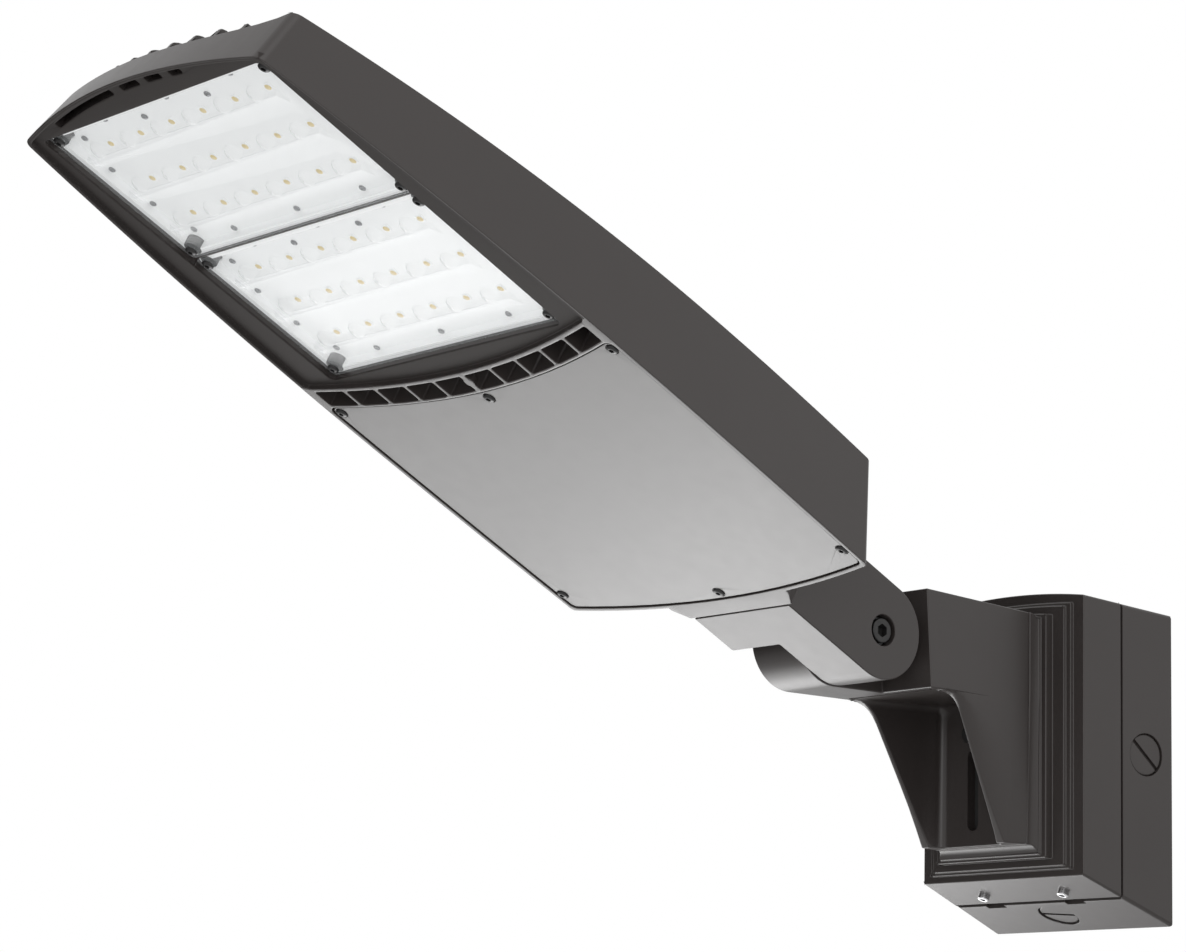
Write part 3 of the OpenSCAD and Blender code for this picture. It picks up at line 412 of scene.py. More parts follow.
def plan(inset, back, front, radius=0.0, parts=16):
    """The outline between a back and a front curve, each a function of v, with the sides drawn in."""
    ends = []
    for curve in (back, front):
        u = curve(0)
        for _ in range(8):
            u = curve(side_v(u, inset))
        ends.append(u)
    back_v, front_v = side_v(ends[0], inset), side_v(ends[1], inset)
    side = span(ends[0], ends[1], parts)[1:-1]
    return rounded(
        [(back(v), v) for v in span(-back_v, back_v, parts)]
        + [(u, side_v(u, inset)) for u in side]
        + [(front(v), v) for v in span(front_v, -front_v, parts)]
        + [(u, -side_v(u, inset)) for u in reversed(side)], radius)


print("widest place", head_width, "front corner", round(2 * side_v(head_length), 4))

# %% [markdown]
# The walls lean: the back wall forwards, the front wall backwards and the sides a little
# inwards. That is one scaling of the upper outline about a fixed line, so a leaning block is a
# bar whose upper face is resized.

# %% Blocks with leaning walls
head_height = 0.075
back_lean = 0.029
front_lean = 0.016
side_lean = 0.008
lean_at = back_lean / ((back_lean + front_lean) / head_length)


def lean(w):
    """Scale of the outline at level w, along U and V."""
    return (1 - (back_lean + front_lean) / head_length * w / head_height,
            1 - 2 * side_lean / head_width * w / head_height)


def leaning_block(name, outline, low, high):
    (low_u, low_v), (high_u, high_v) = lean(low), lean(high)
    piece = prism(name, [(lean_at + (u - lean_at) * low_u, v * low_v) for u, v in outline], low, high)
    choose(piece, "FACE", lambda face: face.normal.z > 0.9 and face.calc_center_median().z > high - 1e-6)
    bpy.ops.transform.resize(value=(high_u / low_u, high_v / low_v, 1), center_override=(lean_at, 0, high))
    bpy.ops.object.mode_set(mode="OBJECT")
    return piece


above = head_height + 0.015
corner_back = 0.005
corner_front = 0.009


def corner_radius(point):
    return corner_back if point[0] < head_length / 2 else corner_front


casting = leaning_block("head_casting", plan(0, back_u, front_u, corner_radius, 24), 0, above)
print("block of the head", [round(c, 3) for c in casting.dimensions])

# %% [markdown]
# The top is a long arch with its crown near the back. A tool with that arch as its lower edge
# takes the rest away. The front wall is lower still: its upper edge dips in the middle, so that
# the fins show above it, and climbs steeply to the corners. The tool for the dip is cut last,
# because an exact cut is safest while the casting is still simple.

# %% Arch of the top and dip of the front wall
crown_at = 0.117
head_drop = 0.028
front_height = 0.0275
front_rise = 0.016
corner_inset = 0.006
corner_lift = 0.0008


def top_w(u):
    return head_height - head_drop * ((u - crown_at) / (head_length - crown_at)) ** 2


def front_w(v):
    """Height of the front wall: a slow rise towards the sides, and a steep one close to them."""
    share = abs(v) / (side_v(head_length) - corner_inset)
    steep_rise = top_w(head_length - front_lean) + corner_lift - front_height - front_rise
    return front_height + front_rise * share ** 3 + steep_rise * share ** 12


def over_top(lowered=0.0):
    behind, before, high = -0.06, head_length + 0.05, 0.12
    arch = [(u, top_w(u) - lowered) for u in span(behind, before, 28)]
    return prism("over_top", arch + [(before, high), (behind, high)], -0.2, 0.2, "v")


cut(casting, over_top())
reach = side_v(head_length)
dip = [(v, front_w(v)) for v in span(-reach - 0.01, reach + 0.01, 24)]
over_front = prism("over_front", dip + [(0.17, 0.12), (-0.17, 0.12)], head_length - front_lean, 0.65, "u")
print("height at the crown", head_height, "and at the front corners", round(top_w(head_length), 4))

# %% [markdown]
# The front half is a heat sink: a base with fins that run from front to back, in a trough
# between the side walls. The fins are taken out of the trough's tool and out of the tool for the
# front wall's dip, so the cuts leave them standing. Each fin ends in a quarter round behind the
# front wall, and the outer ones stand further back, as the front edge bulges.

# %% Fins of the heat sink
wall = 0.004
vent_at = 0.256
vent_width = 0.017
vent_radius = 0.670
base_top = 0.024
fin_count = 11
fin_thick = 0.004
fin_sink = 0.0033
fin_start = vent_at + vent_width + 0.040
fin_end = head_length - 0.004
fin_nose = 0.018
fin_root = 0.002
fin_edge = 0.0012
fin_shift = 0.25
snug = wall - 0.0004


def arc_u(v, at):
    return at + v * v / (2 * vent_radius)


trough = leaning_block("trough", plan(wall, lambda v: arc_u(v, vent_at), lambda v: front_u(v, wall), 0.006),
                       base_top, above + 0.005)
nose = top_w(fin_end) - fin_sink - base_top
fin_side = ([(fin_start, base_top - fin_root)]
            + [(u, top_w(u) - fin_sink) for u in span(fin_start, fin_end, 14)]
            + [(fin_end + fin_nose * cos(a), base_top + nose * sin(a)) for a in span(radians(78), 0, 9)]
            + [(fin_end + fin_nose, base_top - fin_root)])
fin = prism("fin", fin_side, -fin_thick / 2, fin_thick / 2, "v")
choose(fin, "EDGE", lambda edge: abs(edge.verts[0].co.y - edge.verts[1].co.y) < 1e-6
       and middle_of(edge).z > base_top + 0.0005 and edge.calc_face_angle(0) > radians(60))
bpy.ops.mesh.bevel(offset=fin_edge, segments=3, affect="EDGES", clamp_overlap=False)
bpy.ops.object.mode_set(mode="OBJECT")
fin_pitch = 2 * (side_v(head_length) - wall - side_lean) / fin_count
fin_rows = [(k - (fin_count - 1) / 2) * fin_pitch for k in range(fin_count)]
fins = copies(fin, [((front_u(v) - front_u(0)) * fin_shift, v, 0) for v in fin_rows])
room = leaning_block("room", plan(snug, back_u, lambda v: front_u(v, snug)), base_top - 2 * fin_root, above)
cut(fins, room, "INTERSECT")
cut(over_front, fins, keep=True)
cut(trough, fins)
print("fins", fin_count, "pitch", round(fin_pitch, 4))

# %% [markdown]
# At the back the casting carries the seat of the knuckle, a block that narrows towards the
# joint. It is united with the wall before the hollows are cut.

# %% Seat of the knuckle
seat_length = 0.013
seat_width = 0.114
seat_flare = 0.010
seat_height = 0.066
seat_end = -back_bulge - seat_length
seat_half = seat_width / 2
seat = prism("seat", rounded([
    (seat_end, -seat_half), (-back_bulge, -seat_half - seat_flare), (back_lean, -seat_half - seat_flare),
    (back_lean, seat_half + seat_flare), (-back_bulge, seat_half + seat_flare), (seat_end, seat_half)],
    lambda corner: 0.003 if corner[0] < 0 else 0), 0, seat_height)
cut(casting, seat, "UNION")
print("seat ends at", round(seat_end, 4))

# %% [markdown]
# Behind the vents lies the dry space for the driver, closed by the door. The posts for screws
# stay standing in it. A ledge around its mouth carries the door's seal.

# %% Driver space and the door's recess
rim = 0.004
ledge_width = 0.017
door_recess = 0.001
door_thick = 0.003
door_seal = 0.0015
ledge_at = door_recess + door_thick + door_seal
ledge_thick = 0.004
door_front = vent_at - 0.003
post = 0.006
door_screw_v = head_width / 2 - 0.011
door_screws = [(0.264, door_screw_v), (0.264, -door_screw_v), (0.0205, door_screw_v), (0.0205, -door_screw_v),
               (door_front - 0.008, 0.0), (0.008 + rim - back_bulge, 0.0)]


def door_plan(inset, radius):
    return plan(inset, lambda v: back_u(v, inset), lambda v: arc_u(v, door_front + rim - inset), radius)


space = leaning_block("space", plan(wall, lambda v: back_u(v, wall), lambda v: arc_u(v, door_front)),
                      ledge_at + ledge_thick, above)
cut(space, over_top(wall))
post_model = round_bar("post", post, (0, 0, 0), 0.1)
cut(space, copies(post_model, [(u, v, 0) for u, v in door_screws]))
cut(casting, space)
mouth = prism("mouth", door_plan(ledge_width, 0.004), ledge_at - 0.001, ledge_at + ledge_thick + 0.001)
cut(casting, mouth)
cut(casting, prism("door_opening", door_plan(rim, 0.006), -0.001, ledge_at))
print("ledge at", ledge_at)

# %% [markdown]
# The light engines lie in a shallow frame in front of the vents, each lens plate in a recess of
# its own with a deeper pocket for its board. The thin rib between the two plates is as low as
# their faces. Round posts at the corners take the lens screws.

# %% Frame, recesses and pockets of the light engines
frame_depth = 0.004
engine_at = 0.4398
engine_pitch = 0.145
screw_u = 0.1283
screw_v = 0.2553
margin = 0.0074
plate_u = screw_u + 2 * margin
plate_v = screw_v + 2 * margin
lens_recess = 0.0085
recess_gap = 0.001
lens_thick = 0.0026
lens_seat = lens_recess + lens_thick + 0.0015
board_top = lens_seat + 0.007
pocket_inset = 0.0045
engines = {"front": engine_at + engine_pitch / 2, "rear": engine_at - engine_pitch / 2}
lens_screws = [(a * screw_u / 2, b * screw_v / 2) for a in (-1, 1) for b in (-1, 1)]


def plate(name, length, width, low, high, radius):
    half_u, half_v = length / 2, width / 2
    corners = [(-half_u, -half_v), (half_u, -half_v), (half_u, half_v), (-half_u, half_v)]
    return prism(name, rounded(corners, radius), low, high)


def move(piece, *way):
    hold(piece)
    bpy.ops.transform.translate(value=way)
    bpy.ops.object.transform_apply(location=True, rotation=False, scale=False)
    return piece


lens_frame = prism("lens_frame", plan(rim, lambda v: arc_u(v, vent_at + vent_width + 0.004),
                                      lambda v: front_u(v, rim), 0.006), -0.001, frame_depth)
cut(casting, lens_frame)
rib_u = engine_pitch - plate_u
rib_v = (plate_v + recess_gap) / 2
cut(casting, block("above_rib", (engine_at - rib_u, -rib_v, -0.001), (engine_at + rib_u, rib_v, lens_recess)))
for at in engines.values():
    pocket = plate("pocket", plate_u - 2 * pocket_inset, plate_v - 2 * pocket_inset, 0, board_top, 0.004)
    posts = copies(round_bar("post", post, (0, 0, lens_seat), 0.1), [(u, v, 0) for u, v in lens_screws])
    cut(pocket, posts)
    cut(casting, move(pocket, at, 0, 0))
    recess = plate("recess", plate_u + recess_gap, plate_v + recess_gap, -0.001, lens_seat, 0.005)
    cut(casting, move(recess, at, 0, 0))
print("lens plates", round(plate_u, 4), "by", round(plate_v, 4))

# %% [markdown]
# Air rises through the base in two places: a curved band of ten slots between the door and the
# lenses, with a small round eye on the middle rib, and a crescent of narrow cells behind the front
# rim. Both are cut right through. The front wall's dip and the trough of the heat sink follow.

# %% Vents
vent_count = 5
vent_web = 0.0036
vent_middle = 0.001
vent_reach = side_v(vent_at + vent_width, rim + 0.004)
cell = (vent_reach - vent_middle) / vent_count
eye_radius = 0.0045
vents = []
for side in (-1, 1):
    for k in range(vent_count):
        first = vent_middle + k * cell + vent_web / 2
        last = vent_middle + (k + 1) * cell - vent_web / 2
        edge = span(first, last, 4)
        outline = ([(arc_u(v, vent_at), side * v) for v in edge]
                   + [(arc_u(v, vent_at + vent_width), side * v) for v in reversed(edge)])
        vents.append(prism("vent", rounded(outline, 0.0015, parts=3), -0.001, base_top + 0.001))
crescent_gap = 0.003
crescent_width = 0.005
crescent_cells = [(-0.104, -0.019), (-0.007, 0.014), (0.023, 0.040), (0.050, 0.062)]
for first, last in crescent_cells:
    edge = span(first, last, 6)
    outline = ([(front_u(v, rim + crescent_gap + crescent_width), v) for v in reversed(edge)]
               + [(front_u(v, rim + crescent_gap), v) for v in edge])
    vents.append(prism("vent", rounded(outline, 0.0015, parts=3), -0.001, base_top + 0.001))
vents = joined("vents", vents)
cut(vents, round_bar("eye", eye_radius, (vent_at + vent_width * 0.55, 0, -0.002), 0.008))
cut(casting, vents)
cut(casting, over_front)
cut(casting, trough)
soften(casting, 0.0009)
settle(casting, "head", "bronze_paint", "housing")

# %% [markdown]
# ## The driver door
#
# The door is a flat cast plate that fills the rear opening with an even gap. Its screws sit in
# shallow round seats. Two ribs on its inner side keep it stiff.

# %% Door
door_gap = 0.001
small_head = 0.0046
door = prism("driver_door", door_plan(rim + door_gap, 0.0055), door_recess, door_recess + door_thick)
wells = copies(round_bar("well", small_head + 0.0005, (0, 0, 0), door_recess + 0.0004),
               [(u, v, 0) for u, v in door_screws])
cut(door, wells)
for v in (-0.032, 0.032):
    rib = block("rib", (0.062, v - 0.00125, door_recess + door_thick - 0.001), (0.172, v + 0.00125, 0.009))
    cut(door, rib, "UNION")
soften(door, 0.0005)
settle(door, "head", "door_paint", "driver_door")

# %% [markdown]
# The door's screws are button heads with a socket. One is turned on the lathe with a domed head,
# the socket is cut with a hexagon, and the screw is copied to its six places.

# %% Button-head screws
def button_screw(name, head, height, shank, length, socket):
    """A screw that points up, with its head's underside at level 0."""
    dome = [(head * sin(a), -height * cos(a) * 0.75 - height * 0.25) for a in span(0.15, pi / 2, 7)]
    profile = ([(0, dome[0][1])] + dome + [(head, 0), (shank, 0), (shank, length - shank / 2),
                                           (shank / 2, length), (0, length)])
    piece = turned(name, profile)
    hexagon = round_bar("socket", socket, (0, 0, -height - 0.001), height * 0.75 + 0.001, corners=6)
    return soften(cut(piece, hexagon), 0.00015)


screw = button_screw("door_screws", small_head, 0.0022, 0.0025, 0.0125, 0.0021)
screw_level = door_recess + 0.0004
settle(copies(screw, [(u, v, screw_level) for u, v in door_screws]), "head", "dark_steel", "door_screws")

# %% [markdown]
# ## The light engines
#
# Each engine has a white board with eighteen chips in three rows, and a clear plate over it.
# The plate bends the light with one prism bar along each row and a small dome beside each chip.
# Bars and domes are united with the plate, so that the clear piece is one closed solid.

# %% Lens plates
row_pitch = 0.040
row_shift = 0.002
column_pitch = 0.039
rows = [k * row_pitch + row_shift for k in (-1, 0, 1)]
columns = [(k - 2.5) * column_pitch for k in range(6)]
lens_radius = 0.0085
dome_height = 0.005
bar_height = 0.004
bar_half = 3 * column_pitch
bar_back, bar_crest, bar_front = 0.0115, 0.001, 0.003
sunk = 0.001
lens = plate("lens_plate", plate_u, plate_v, lens_recess, lens_recess + lens_thick, 0.0045)
bars = []
for u in rows:
    side_view = [(u - bar_back, lens_recess + sunk), (u - bar_back, lens_recess),
                 (u - bar_crest, lens_recess - bar_height), (u + bar_crest, lens_recess - bar_height),
                 (u + bar_front, lens_recess), (u + bar_front, lens_recess + sunk)]
    bars.append(prism("bar", side_view, -bar_half, bar_half, "v"))
cut(lens, joined("bars", bars), "UNION")
arc = [(lens_radius * sin(a), -dome_height * cos(a)) for a in span(0.2, pi / 2, 8)]
dome = turned("dome", [(0, -dome_height)] + arc + [(lens_radius, sunk), (0, sunk)], 28)
domes = copies(dome, [(u + lens_radius / 2, v, lens_recess) for u in rows for v in columns])
cut(lens, domes, "UNION")
holes = copies(round_bar("hole", 0.0028, (0, 0, 0), 0.02), [(u, v, 0) for u, v in lens_screws])
cut(lens, holes)
soften(lens, 0.0003)
for name, at in engines.items():
    hold(lens)
    bpy.ops.object.duplicate_move(TRANSFORM_OT_translate={"value": (at, 0, 0)})
    bpy.ops.object.transform_apply(location=True, rotation=False, scale=False)
    twin = bpy.context.object
    twin.name = twin.data.name = name + "_lens"
    settle(twin, "head", "clear_lens", name + "_lens_plate")
bpy.data.objects.remove(lens)

# %% [markdown]
# The board lies at the bottom of a white tray, whose sides and lip hide the casting and the seal
# behind the clear plate. The tray is notched around the corner posts. The chips are square white
# packages with a yellow window of phosphor, so each engine gets a set of packages and a set of
# windows, both copied from one model.

# %% Boards, packages and windows
board_thick = 0.0016
board_at = board_top - board_thick
board_gap = 0.001
package = 0.006
package_height = 0.0009
window_side = [(0, -0.0006), (0.0016, -0.0005), (0.0024, -0.00025), (0.0027, 0), (0, 0)]
hair = 0.0001
lip_inset = 0.0005
skirt_inset = 2 * pocket_inset + 4 * hair
tray_inset = 0.0105
for name, at in engines.items():
    board = plate("board", plate_u - lip_inset, plate_v - lip_inset,
                  lens_recess + lens_thick - hair, lens_seat - hair, 0.0045)
    skirt = plate("skirt", plate_u - skirt_inset, plate_v - skirt_inset,
                  lens_seat - 0.001, board_top - hair, 0.003)
    cut(board, skirt, "UNION")
    cut(board, plate("tray", plate_u - tray_inset, plate_v - tray_inset, 0, board_at, 0.0025))
    notch = round_bar("notch", post + board_gap, (0, 0, 0), 0.1)
    notches = copies(notch, [(u, v, 0) for u, v in lens_screws])
    cut(board, notches)
    board.name = board.data.name = name + "_board"
    settle(move(soften(board, 0.0002), at, 0, 0), "head", "white_board", name + "_led_board")
    places = [(at + u, v, board_at) for u in rows for v in columns]
    body = plate(name + "_packages", package, package, -package_height, 0, 0.0005)
    settle(copies(soften(body, 0.00015), places), "head", "white_board", name + "_led_chips")
    window = turned(name + "_windows", window_side, 16)
    settle(copies(window, [(u, v, w - package_height) for u, v, w in places]), "head", "led_phosphor")

# %% [markdown]
# Pan-head screws hold the board on the casting along its edges, and larger screws in the corners
# hold the lens plate. Both are seen through or beside the clear plate.

# %% Screws of the boards and the lens plates
pocket_u = plate_u - 2 * pocket_inset
pocket_v = plate_v - 2 * pocket_inset
board_screw = 0.0015
screw_in = 0.004
board_screws = ([(a * (pocket_u / 2 - screw_in), b * 2 * column_pitch) for a in (-1, 1) for b in (-1, 0, 1)]
                + [(a * row_pitch / 2, b * (pocket_v / 2 - screw_in)) for a in (-1, 1) for b in (-1, 1)]
                + [(a * row_pitch * 4 / 3, b * 3 * column_pitch) for a in (-1, 1) for b in (-1, 1)]
                + [(row_pitch * 4 / 3, b * column_pitch) for b in (-1, 1)])
screw = button_screw("board_screws", board_screw * 1.8, board_screw, board_screw, 0.004, 0.0009)
places = [(at + u, v, board_at) for at in engines.values() for u, v in board_screws]
settle(copies(screw, places), "head", "zinc_steel", "board_screws")
screw = button_screw("lens_screws", small_head, 0.0022, 0.0025, 0.011, 0.0021)
places = [(at + u, v, lens_recess) for at in engines.values() for u, v in lens_screws]
settle(copies(screw, places), "head", "dark_steel", "lens_screws")

# %% [markdown]
# ## The knuckle
#
# The knuckle is a block as wide as the arm, bolted to the seat. On one side a round tongue runs
# on to the pivot. The block and the tongue are two bars united, with a bore and a wide round
# recess for the pivot bolt and a hollow for the wires.

# %% Knuckle
knuckle_half = 0.0535
knuckle_end = seat_end - 0.0007
wide_end = 0.0453 - pivot_at
joint_gap = 0.0004
bore_radius = 0.0062
recess_radius = 0.012
recess_depth = 0.010
knuckle = prism("knuckle", rounded([(wide_end, -knuckle_half), (knuckle_end, -knuckle_half),
                                    (knuckle_end, knuckle_half), (wide_end, knuckle_half)],
                                   lambda corner: 0.002 if corner[0] < -0.05 else 0), 0, 2 * knuckle_radius)
tongue = ([(-pivot_at + knuckle_radius * cos(a), knuckle_radius + knuckle_radius * sin(a))
           for a in span(pi / 2, 3 * pi / 2, 48)]
          + [(wide_end + 0.005, 0), (wide_end + 0.005, 2 * knuckle_radius)])
cut(knuckle, prism("tongue", tongue, joint_gap / 2, knuckle_half, "v"), "UNION")
hollow = block("hollow", (wide_end + 0.008, -0.0455, 0.008), (knuckle_end - 0.013, 0.0455, 0.067))
cut(knuckle, hollow)
cut(knuckle, round_bar("bore", bore_radius, (-pivot_at, -0.001, knuckle_radius), 0.06, "v"))
recess_start = (-pivot_at, knuckle_half - recess_depth, knuckle_radius)
cut(knuckle, round_bar("recess", recess_radius, recess_start, 2 * recess_depth, "v", 64))
soften(knuckle, 0.0009, 3, split=False)
settle(knuckle, "head", "bronze_paint", "head_knuckle")

# %% [markdown]
# The pivot bolt is a socket cap screw in a deep round recess. A grey washer lies under its head.

# %% Pivot bolt and washer
bolt_radius = 0.006
bolt_length = 0.0921
head_radius = 0.0094
head_end = bolt_length + 0.007
head_chamfer = 0.0006
bolt_face = knuckle_half - recess_depth + 0.0016
bolt = turned("pivot_bolt", [(0, 0), (bolt_radius, 0), (bolt_radius, bolt_length), (head_radius, bolt_length),
                             (head_radius, head_end - head_chamfer), (head_radius - head_chamfer, head_end),
                             (0, head_end)], 48)
hexagon = round_bar("socket", 0.0052, (0, 0, bolt_length + 0.0014), 0.02, corners=6)
soften(cut(bolt, hexagon), 0.0003)
to_side = Matrix.Translation((0, bolt_face - bolt_length, 0)) @ Matrix.Rotation(-pi / 2, 4, "X")
settle(bolt, "wall_side", "dark_steel", "pivot_bolt", place=on_arm @ to_side)
washer_radius = 0.0112
washer_thick = 0.0012
washer_side = [(0, 0), (washer_radius, 0), (washer_radius, washer_thick), (0, washer_thick)]
washer = turned("pivot_washer_ring", washer_side, 48)
cut(washer, round_bar("hole", 0.00605, (0, 0, -0.001), 0.01))
soften(washer, 0.0003)
place = on_arm @ Matrix.Translation((0, bolt_face - washer_thick, 0)) @ Matrix.Rotation(-pi / 2, 4, "X")
settle(washer, "wall_side", "zinc_steel", "pivot_washer", place=place)

# %% [markdown]
# ## The arm
#
# The arm carries the drum that the knuckle turns against. Below it, two webs draw in towards a thin
# front edge and frame a deep pocket with a slotted back. Webs and pocket are lofts: the outline
# of a slice, changed step by step along the arm. The webs' edge falls in a soft curve at first and
# then in a straight line, and fine steps near the back give the pocket its round inner corners.

# %% Arm
arm_length = 0.1565
drum_radius = 0.0385
arm_end = 0.031
arm_top = 0.0375
shoulder = 0.0505
shoulder_lean = 0.0055
web_drop = 0.150
back_thick = 0.008
web_start = -0.0305
web_curve = [(-0.064, -0.0386, 0.0525), (-0.070, -0.0392, 0.0518), (-0.0755, -0.0410, 0.0510),
             (-0.0795, -0.0434, 0.0500), (-0.0830, -0.0464, 0.0495), (-0.0858, -0.0498, 0.0490)]
web_line = (-0.0880, -0.0536, 0.0485), (-0.1375, -web_drop, 0.0430)
web_edge = web_curve + [tuple(a + (b - a) * t for a, b in zip(*web_line)) for t in span(0, 1, 6)]
back_draft = 0.003
widen_at = -0.118
arm_side = ([(drum_radius * sin(a), drum_radius * cos(a)) for a in span(0, pi, 48)]
            + [(-arm_length, -drum_radius), (-arm_length, arm_end)])
arm = prism("arm", arm_side, -knuckle_half, -joint_gap / 2, "v")
body_side = [(-arm_length, -drum_radius), (-shoulder, -drum_radius), (shoulder_lean - shoulder, arm_top),
             (-arm_length, arm_end)]
body = prism("body", body_side, -knuckle_half, knuckle_half, "v")
cut(arm, body, "UNION")


def web_slice(x, low, half):
    """A slice of the webs: straight beside the body, then drawn in more and more down to the lower edge."""
    back_half = knuckle_half - back_draft * (web_start - low) / (web_drop + web_start)
    share = max(0.0, min(1.0, (widen_at - x) / (arm_length + widen_at)))
    drawn_in = knuckle_half - half - (back_half - half) * share ** 1.5
    flank = [(knuckle_half, web_start), (knuckle_half, -drum_radius)]
    flank += [(knuckle_half - drawn_in * t ** 2, (low + drum_radius) * t - drum_radius)
              for t in (0.3, 0.55, 0.8, 1)]
    return x, flank + [(-y, z) for y, z in reversed(flank)]


slices = [web_slice(*point) for point in web_edge]
line_end, lowest, half_there = web_line[1]
slices += [web_slice(x, lowest, half_there) for x in span(line_end, -arm_length, 6)[1:]]
webs = lofted("webs", slices)
cut(arm, webs, "UNION")
pocket_half = 0.028
pocket_radius = 0.007
pocket_top = -0.0375
pocket_low = -0.153
pocket_back = back_thick - arm_length
pocket_flare = [(-0.1355, 0.0375), (-0.128, 0.0392), (-0.112, 0.0418), (-0.088, 0.0455), (-0.0585, 0.0490)]


def pocket_slice(x, half, top):
    outline = [(-half, pocket_low), (half, pocket_low), (half, top), (-half, top)]
    return x, rounded(outline, lambda point: 0.006 if point[1] > pocket_low else 0, 5)


pocket = [pocket_slice(pocket_back + pocket_radius * (1 - cos(a)), pocket_half + pocket_radius * sin(a),
                       pocket_top - pocket_radius * (1 - sin(a))) for a in span(0, pi / 2, 6)]
pocket += [pocket_slice(x, half, pocket_top) for x, half in pocket_flare]
cut(arm, lofted("pocket", pocket))
soften(arm, 0.0011, 3)
slot_half = 0.0059
slot_top, slot_low = -0.0799, -0.1321
slot = [(slot_half * cos(a), slot_top + slot_half * sin(a)) for a in span(0, pi, 12)]
slot += [(slot_half * cos(a), slot_low + slot_half * sin(a)) for a in span(pi, 2 * pi, 12)]
cut(arm, prism("slot", slot, -arm_length - 0.001, pocket_back + 0.001, "u"))
nut_room = round_bar("nut_room", 0.013, (0, -knuckle_half - 0.001, 0), 0.010, "v", 48)
cut(arm, nut_room)
settle(arm, "wall_side", "bronze_paint", "tilt_arm", place=on_arm)

# %% [markdown]
# Two hexagon bolts hold the arm on the bracket. The lower one shows in the pocket. A hexagon bar
# gets its corners turned off, as on a real bolt, by what it shares with a cone-ended round.

# %% Hexagon bolts
def hexagon_bolt(name, flats, height, shank, length):
    """A bolt that points down, with its head's underside at level 0."""
    head = round_bar(name, flats / sqrt(3), (0, 0, 0), height, corners=6)
    crown = turned("crown", [(0, -0.001), (flats, -0.001), (flats, height - flats * 0.28),
                             (flats * 0.46, height), (0, height)], 48)
    cut(head, crown, "INTERSECT")
    cut(head, round_bar("shank", shank, (0, 0, -length), length + 0.001), "UNION")
    return soften(head, 0.0003)


arm_bolts = [(0.062, 0, 0), (-0.010, 0, 0)]
flat_ring = 0.0015
ring_radius = 0.00806
bolt = copies(hexagon_bolt("arm_bolt_pair", 0.013, 0.0053, 0.004, 0.024), arm_bolts)
out_of_wall = Matrix.Rotation(pi / 2, 4, "Y")
place = on_arm @ Matrix.Translation((pocket_back + flat_ring, 0, 0)) @ out_of_wall
settle(bolt, "wall_side", "dark_steel", "arm_bolts", place=place)
ring = turned("arm_washer_pair", [(0, 0), (ring_radius, 0), (ring_radius, flat_ring), (0, flat_ring)])
cut(ring, round_bar("hole", 0.00405, (0, 0, -0.001), 0.01))
rings = copies(soften(ring, 0.0002), arm_bolts)
place = on_arm @ Matrix.Translation((pocket_back, 0, 0)) @ out_of_wall
settle(rings, "wall_side", "zinc_steel", "arm_washers", place=place)

# %% [markdown]
# ## The wall bracket
#
# The bracket and the conduit box behind it taper together, as one drafted form with an arched
# top. So both pieces, and the hollows in them, are lofts between two slices of that form.

# %% Drafted forms
bracket_depth = 0.091
bracket_half = 0.088
bracket_top = 0.1305
bracket_bottom = 0.088
arch_rise = 0.0065
box_depth = 0.051
box_half = 0.0965
box_half_height = 0.1225
box_wall = 0.005


def arched(half, bottom, top, rise, radius):
    """Front view: flat below, with a low arch above."""
    arch = [(y, top + rise * (1 - (y / half) ** 2)) for y in span(half, -half, 20)]
    return rounded([(-half, bottom), (half, bottom)] + arch, radius)


def drawn(at_wall, at_front, x):
    return at_wall + (at_front - at_wall) * x / bracket_depth


def drafted_outline(x, inset, radius):
    half = drawn(box_half, bracket_half, x) - inset
    bottom = drawn(-box_half_height, -bracket_bottom, x) + inset
    top = drawn(box_half_height, bracket_top, x) - inset
    return arched(half, bottom, top, arch_rise, radius)


def drafted(name, low, high, inset, radius):
    return lofted(name, [(x, drafted_outline(x, inset, radius)) for x in (low, high)])


print("drafted from", 2 * box_half, "at the wall to", 2 * bracket_half)

# %% [markdown]
# On the bracket's front, four thin tiers stand on one another like contour lines. The arm grows
# out of the last one in a soft hollow curve, which is lofted in short steps.

# %% Bracket with its tiers and root
tiers = [(0.011, 0.003), (0.016, 0.0055), (0.028, 0.013), (0.033, 0.015)]
bracket = drafted("bracket", box_depth + 0.0015, bracket_depth, 0, 0.002)
for inset, height in tiers:
    outline = arched(bracket_half - inset, inset / 2 - bracket_bottom, bracket_top - inset / 2,
                     arch_rise / 2, 0.0015)
    cut(bracket, prism("tier", outline, bracket_depth - 0.002, bracket_depth + height, "u"), "UNION")
last_inset, last_height = tiers[-1]
root_length = 0.0243
root_foot = bracket_depth + last_height - 0.001
foot_margin = 0.0006
foot_half = bracket_half - last_inset - foot_margin
foot_low = last_inset / 2 - bracket_bottom + foot_margin
foot_high = bracket_top - last_inset / 2 - foot_margin


def root_outline(x):
    """The root's outline, which flares towards the last tier in a quarter of a wave."""
    share = (1 - sin((x - root_foot) / (bracket_depth + root_length - root_foot) * pi / 2)) ** 1.3
    low_half = (knuckle_half - back_draft) + (foot_half - knuckle_half + back_draft) * share
    high_half = knuckle_half + (foot_half - knuckle_half) * share
    low = pivot.z - web_drop + (foot_low - pivot.z + web_drop) * share ** 1.6
    high = pivot.z + arm_end + (foot_high - pivot.z - arm_end) * share
    middle = pivot.z + web_start
    return x, [(-low_half, low), (low_half, low), (high_half, middle), (high_half, high), (-high_half, high),
               (-high_half, middle)]


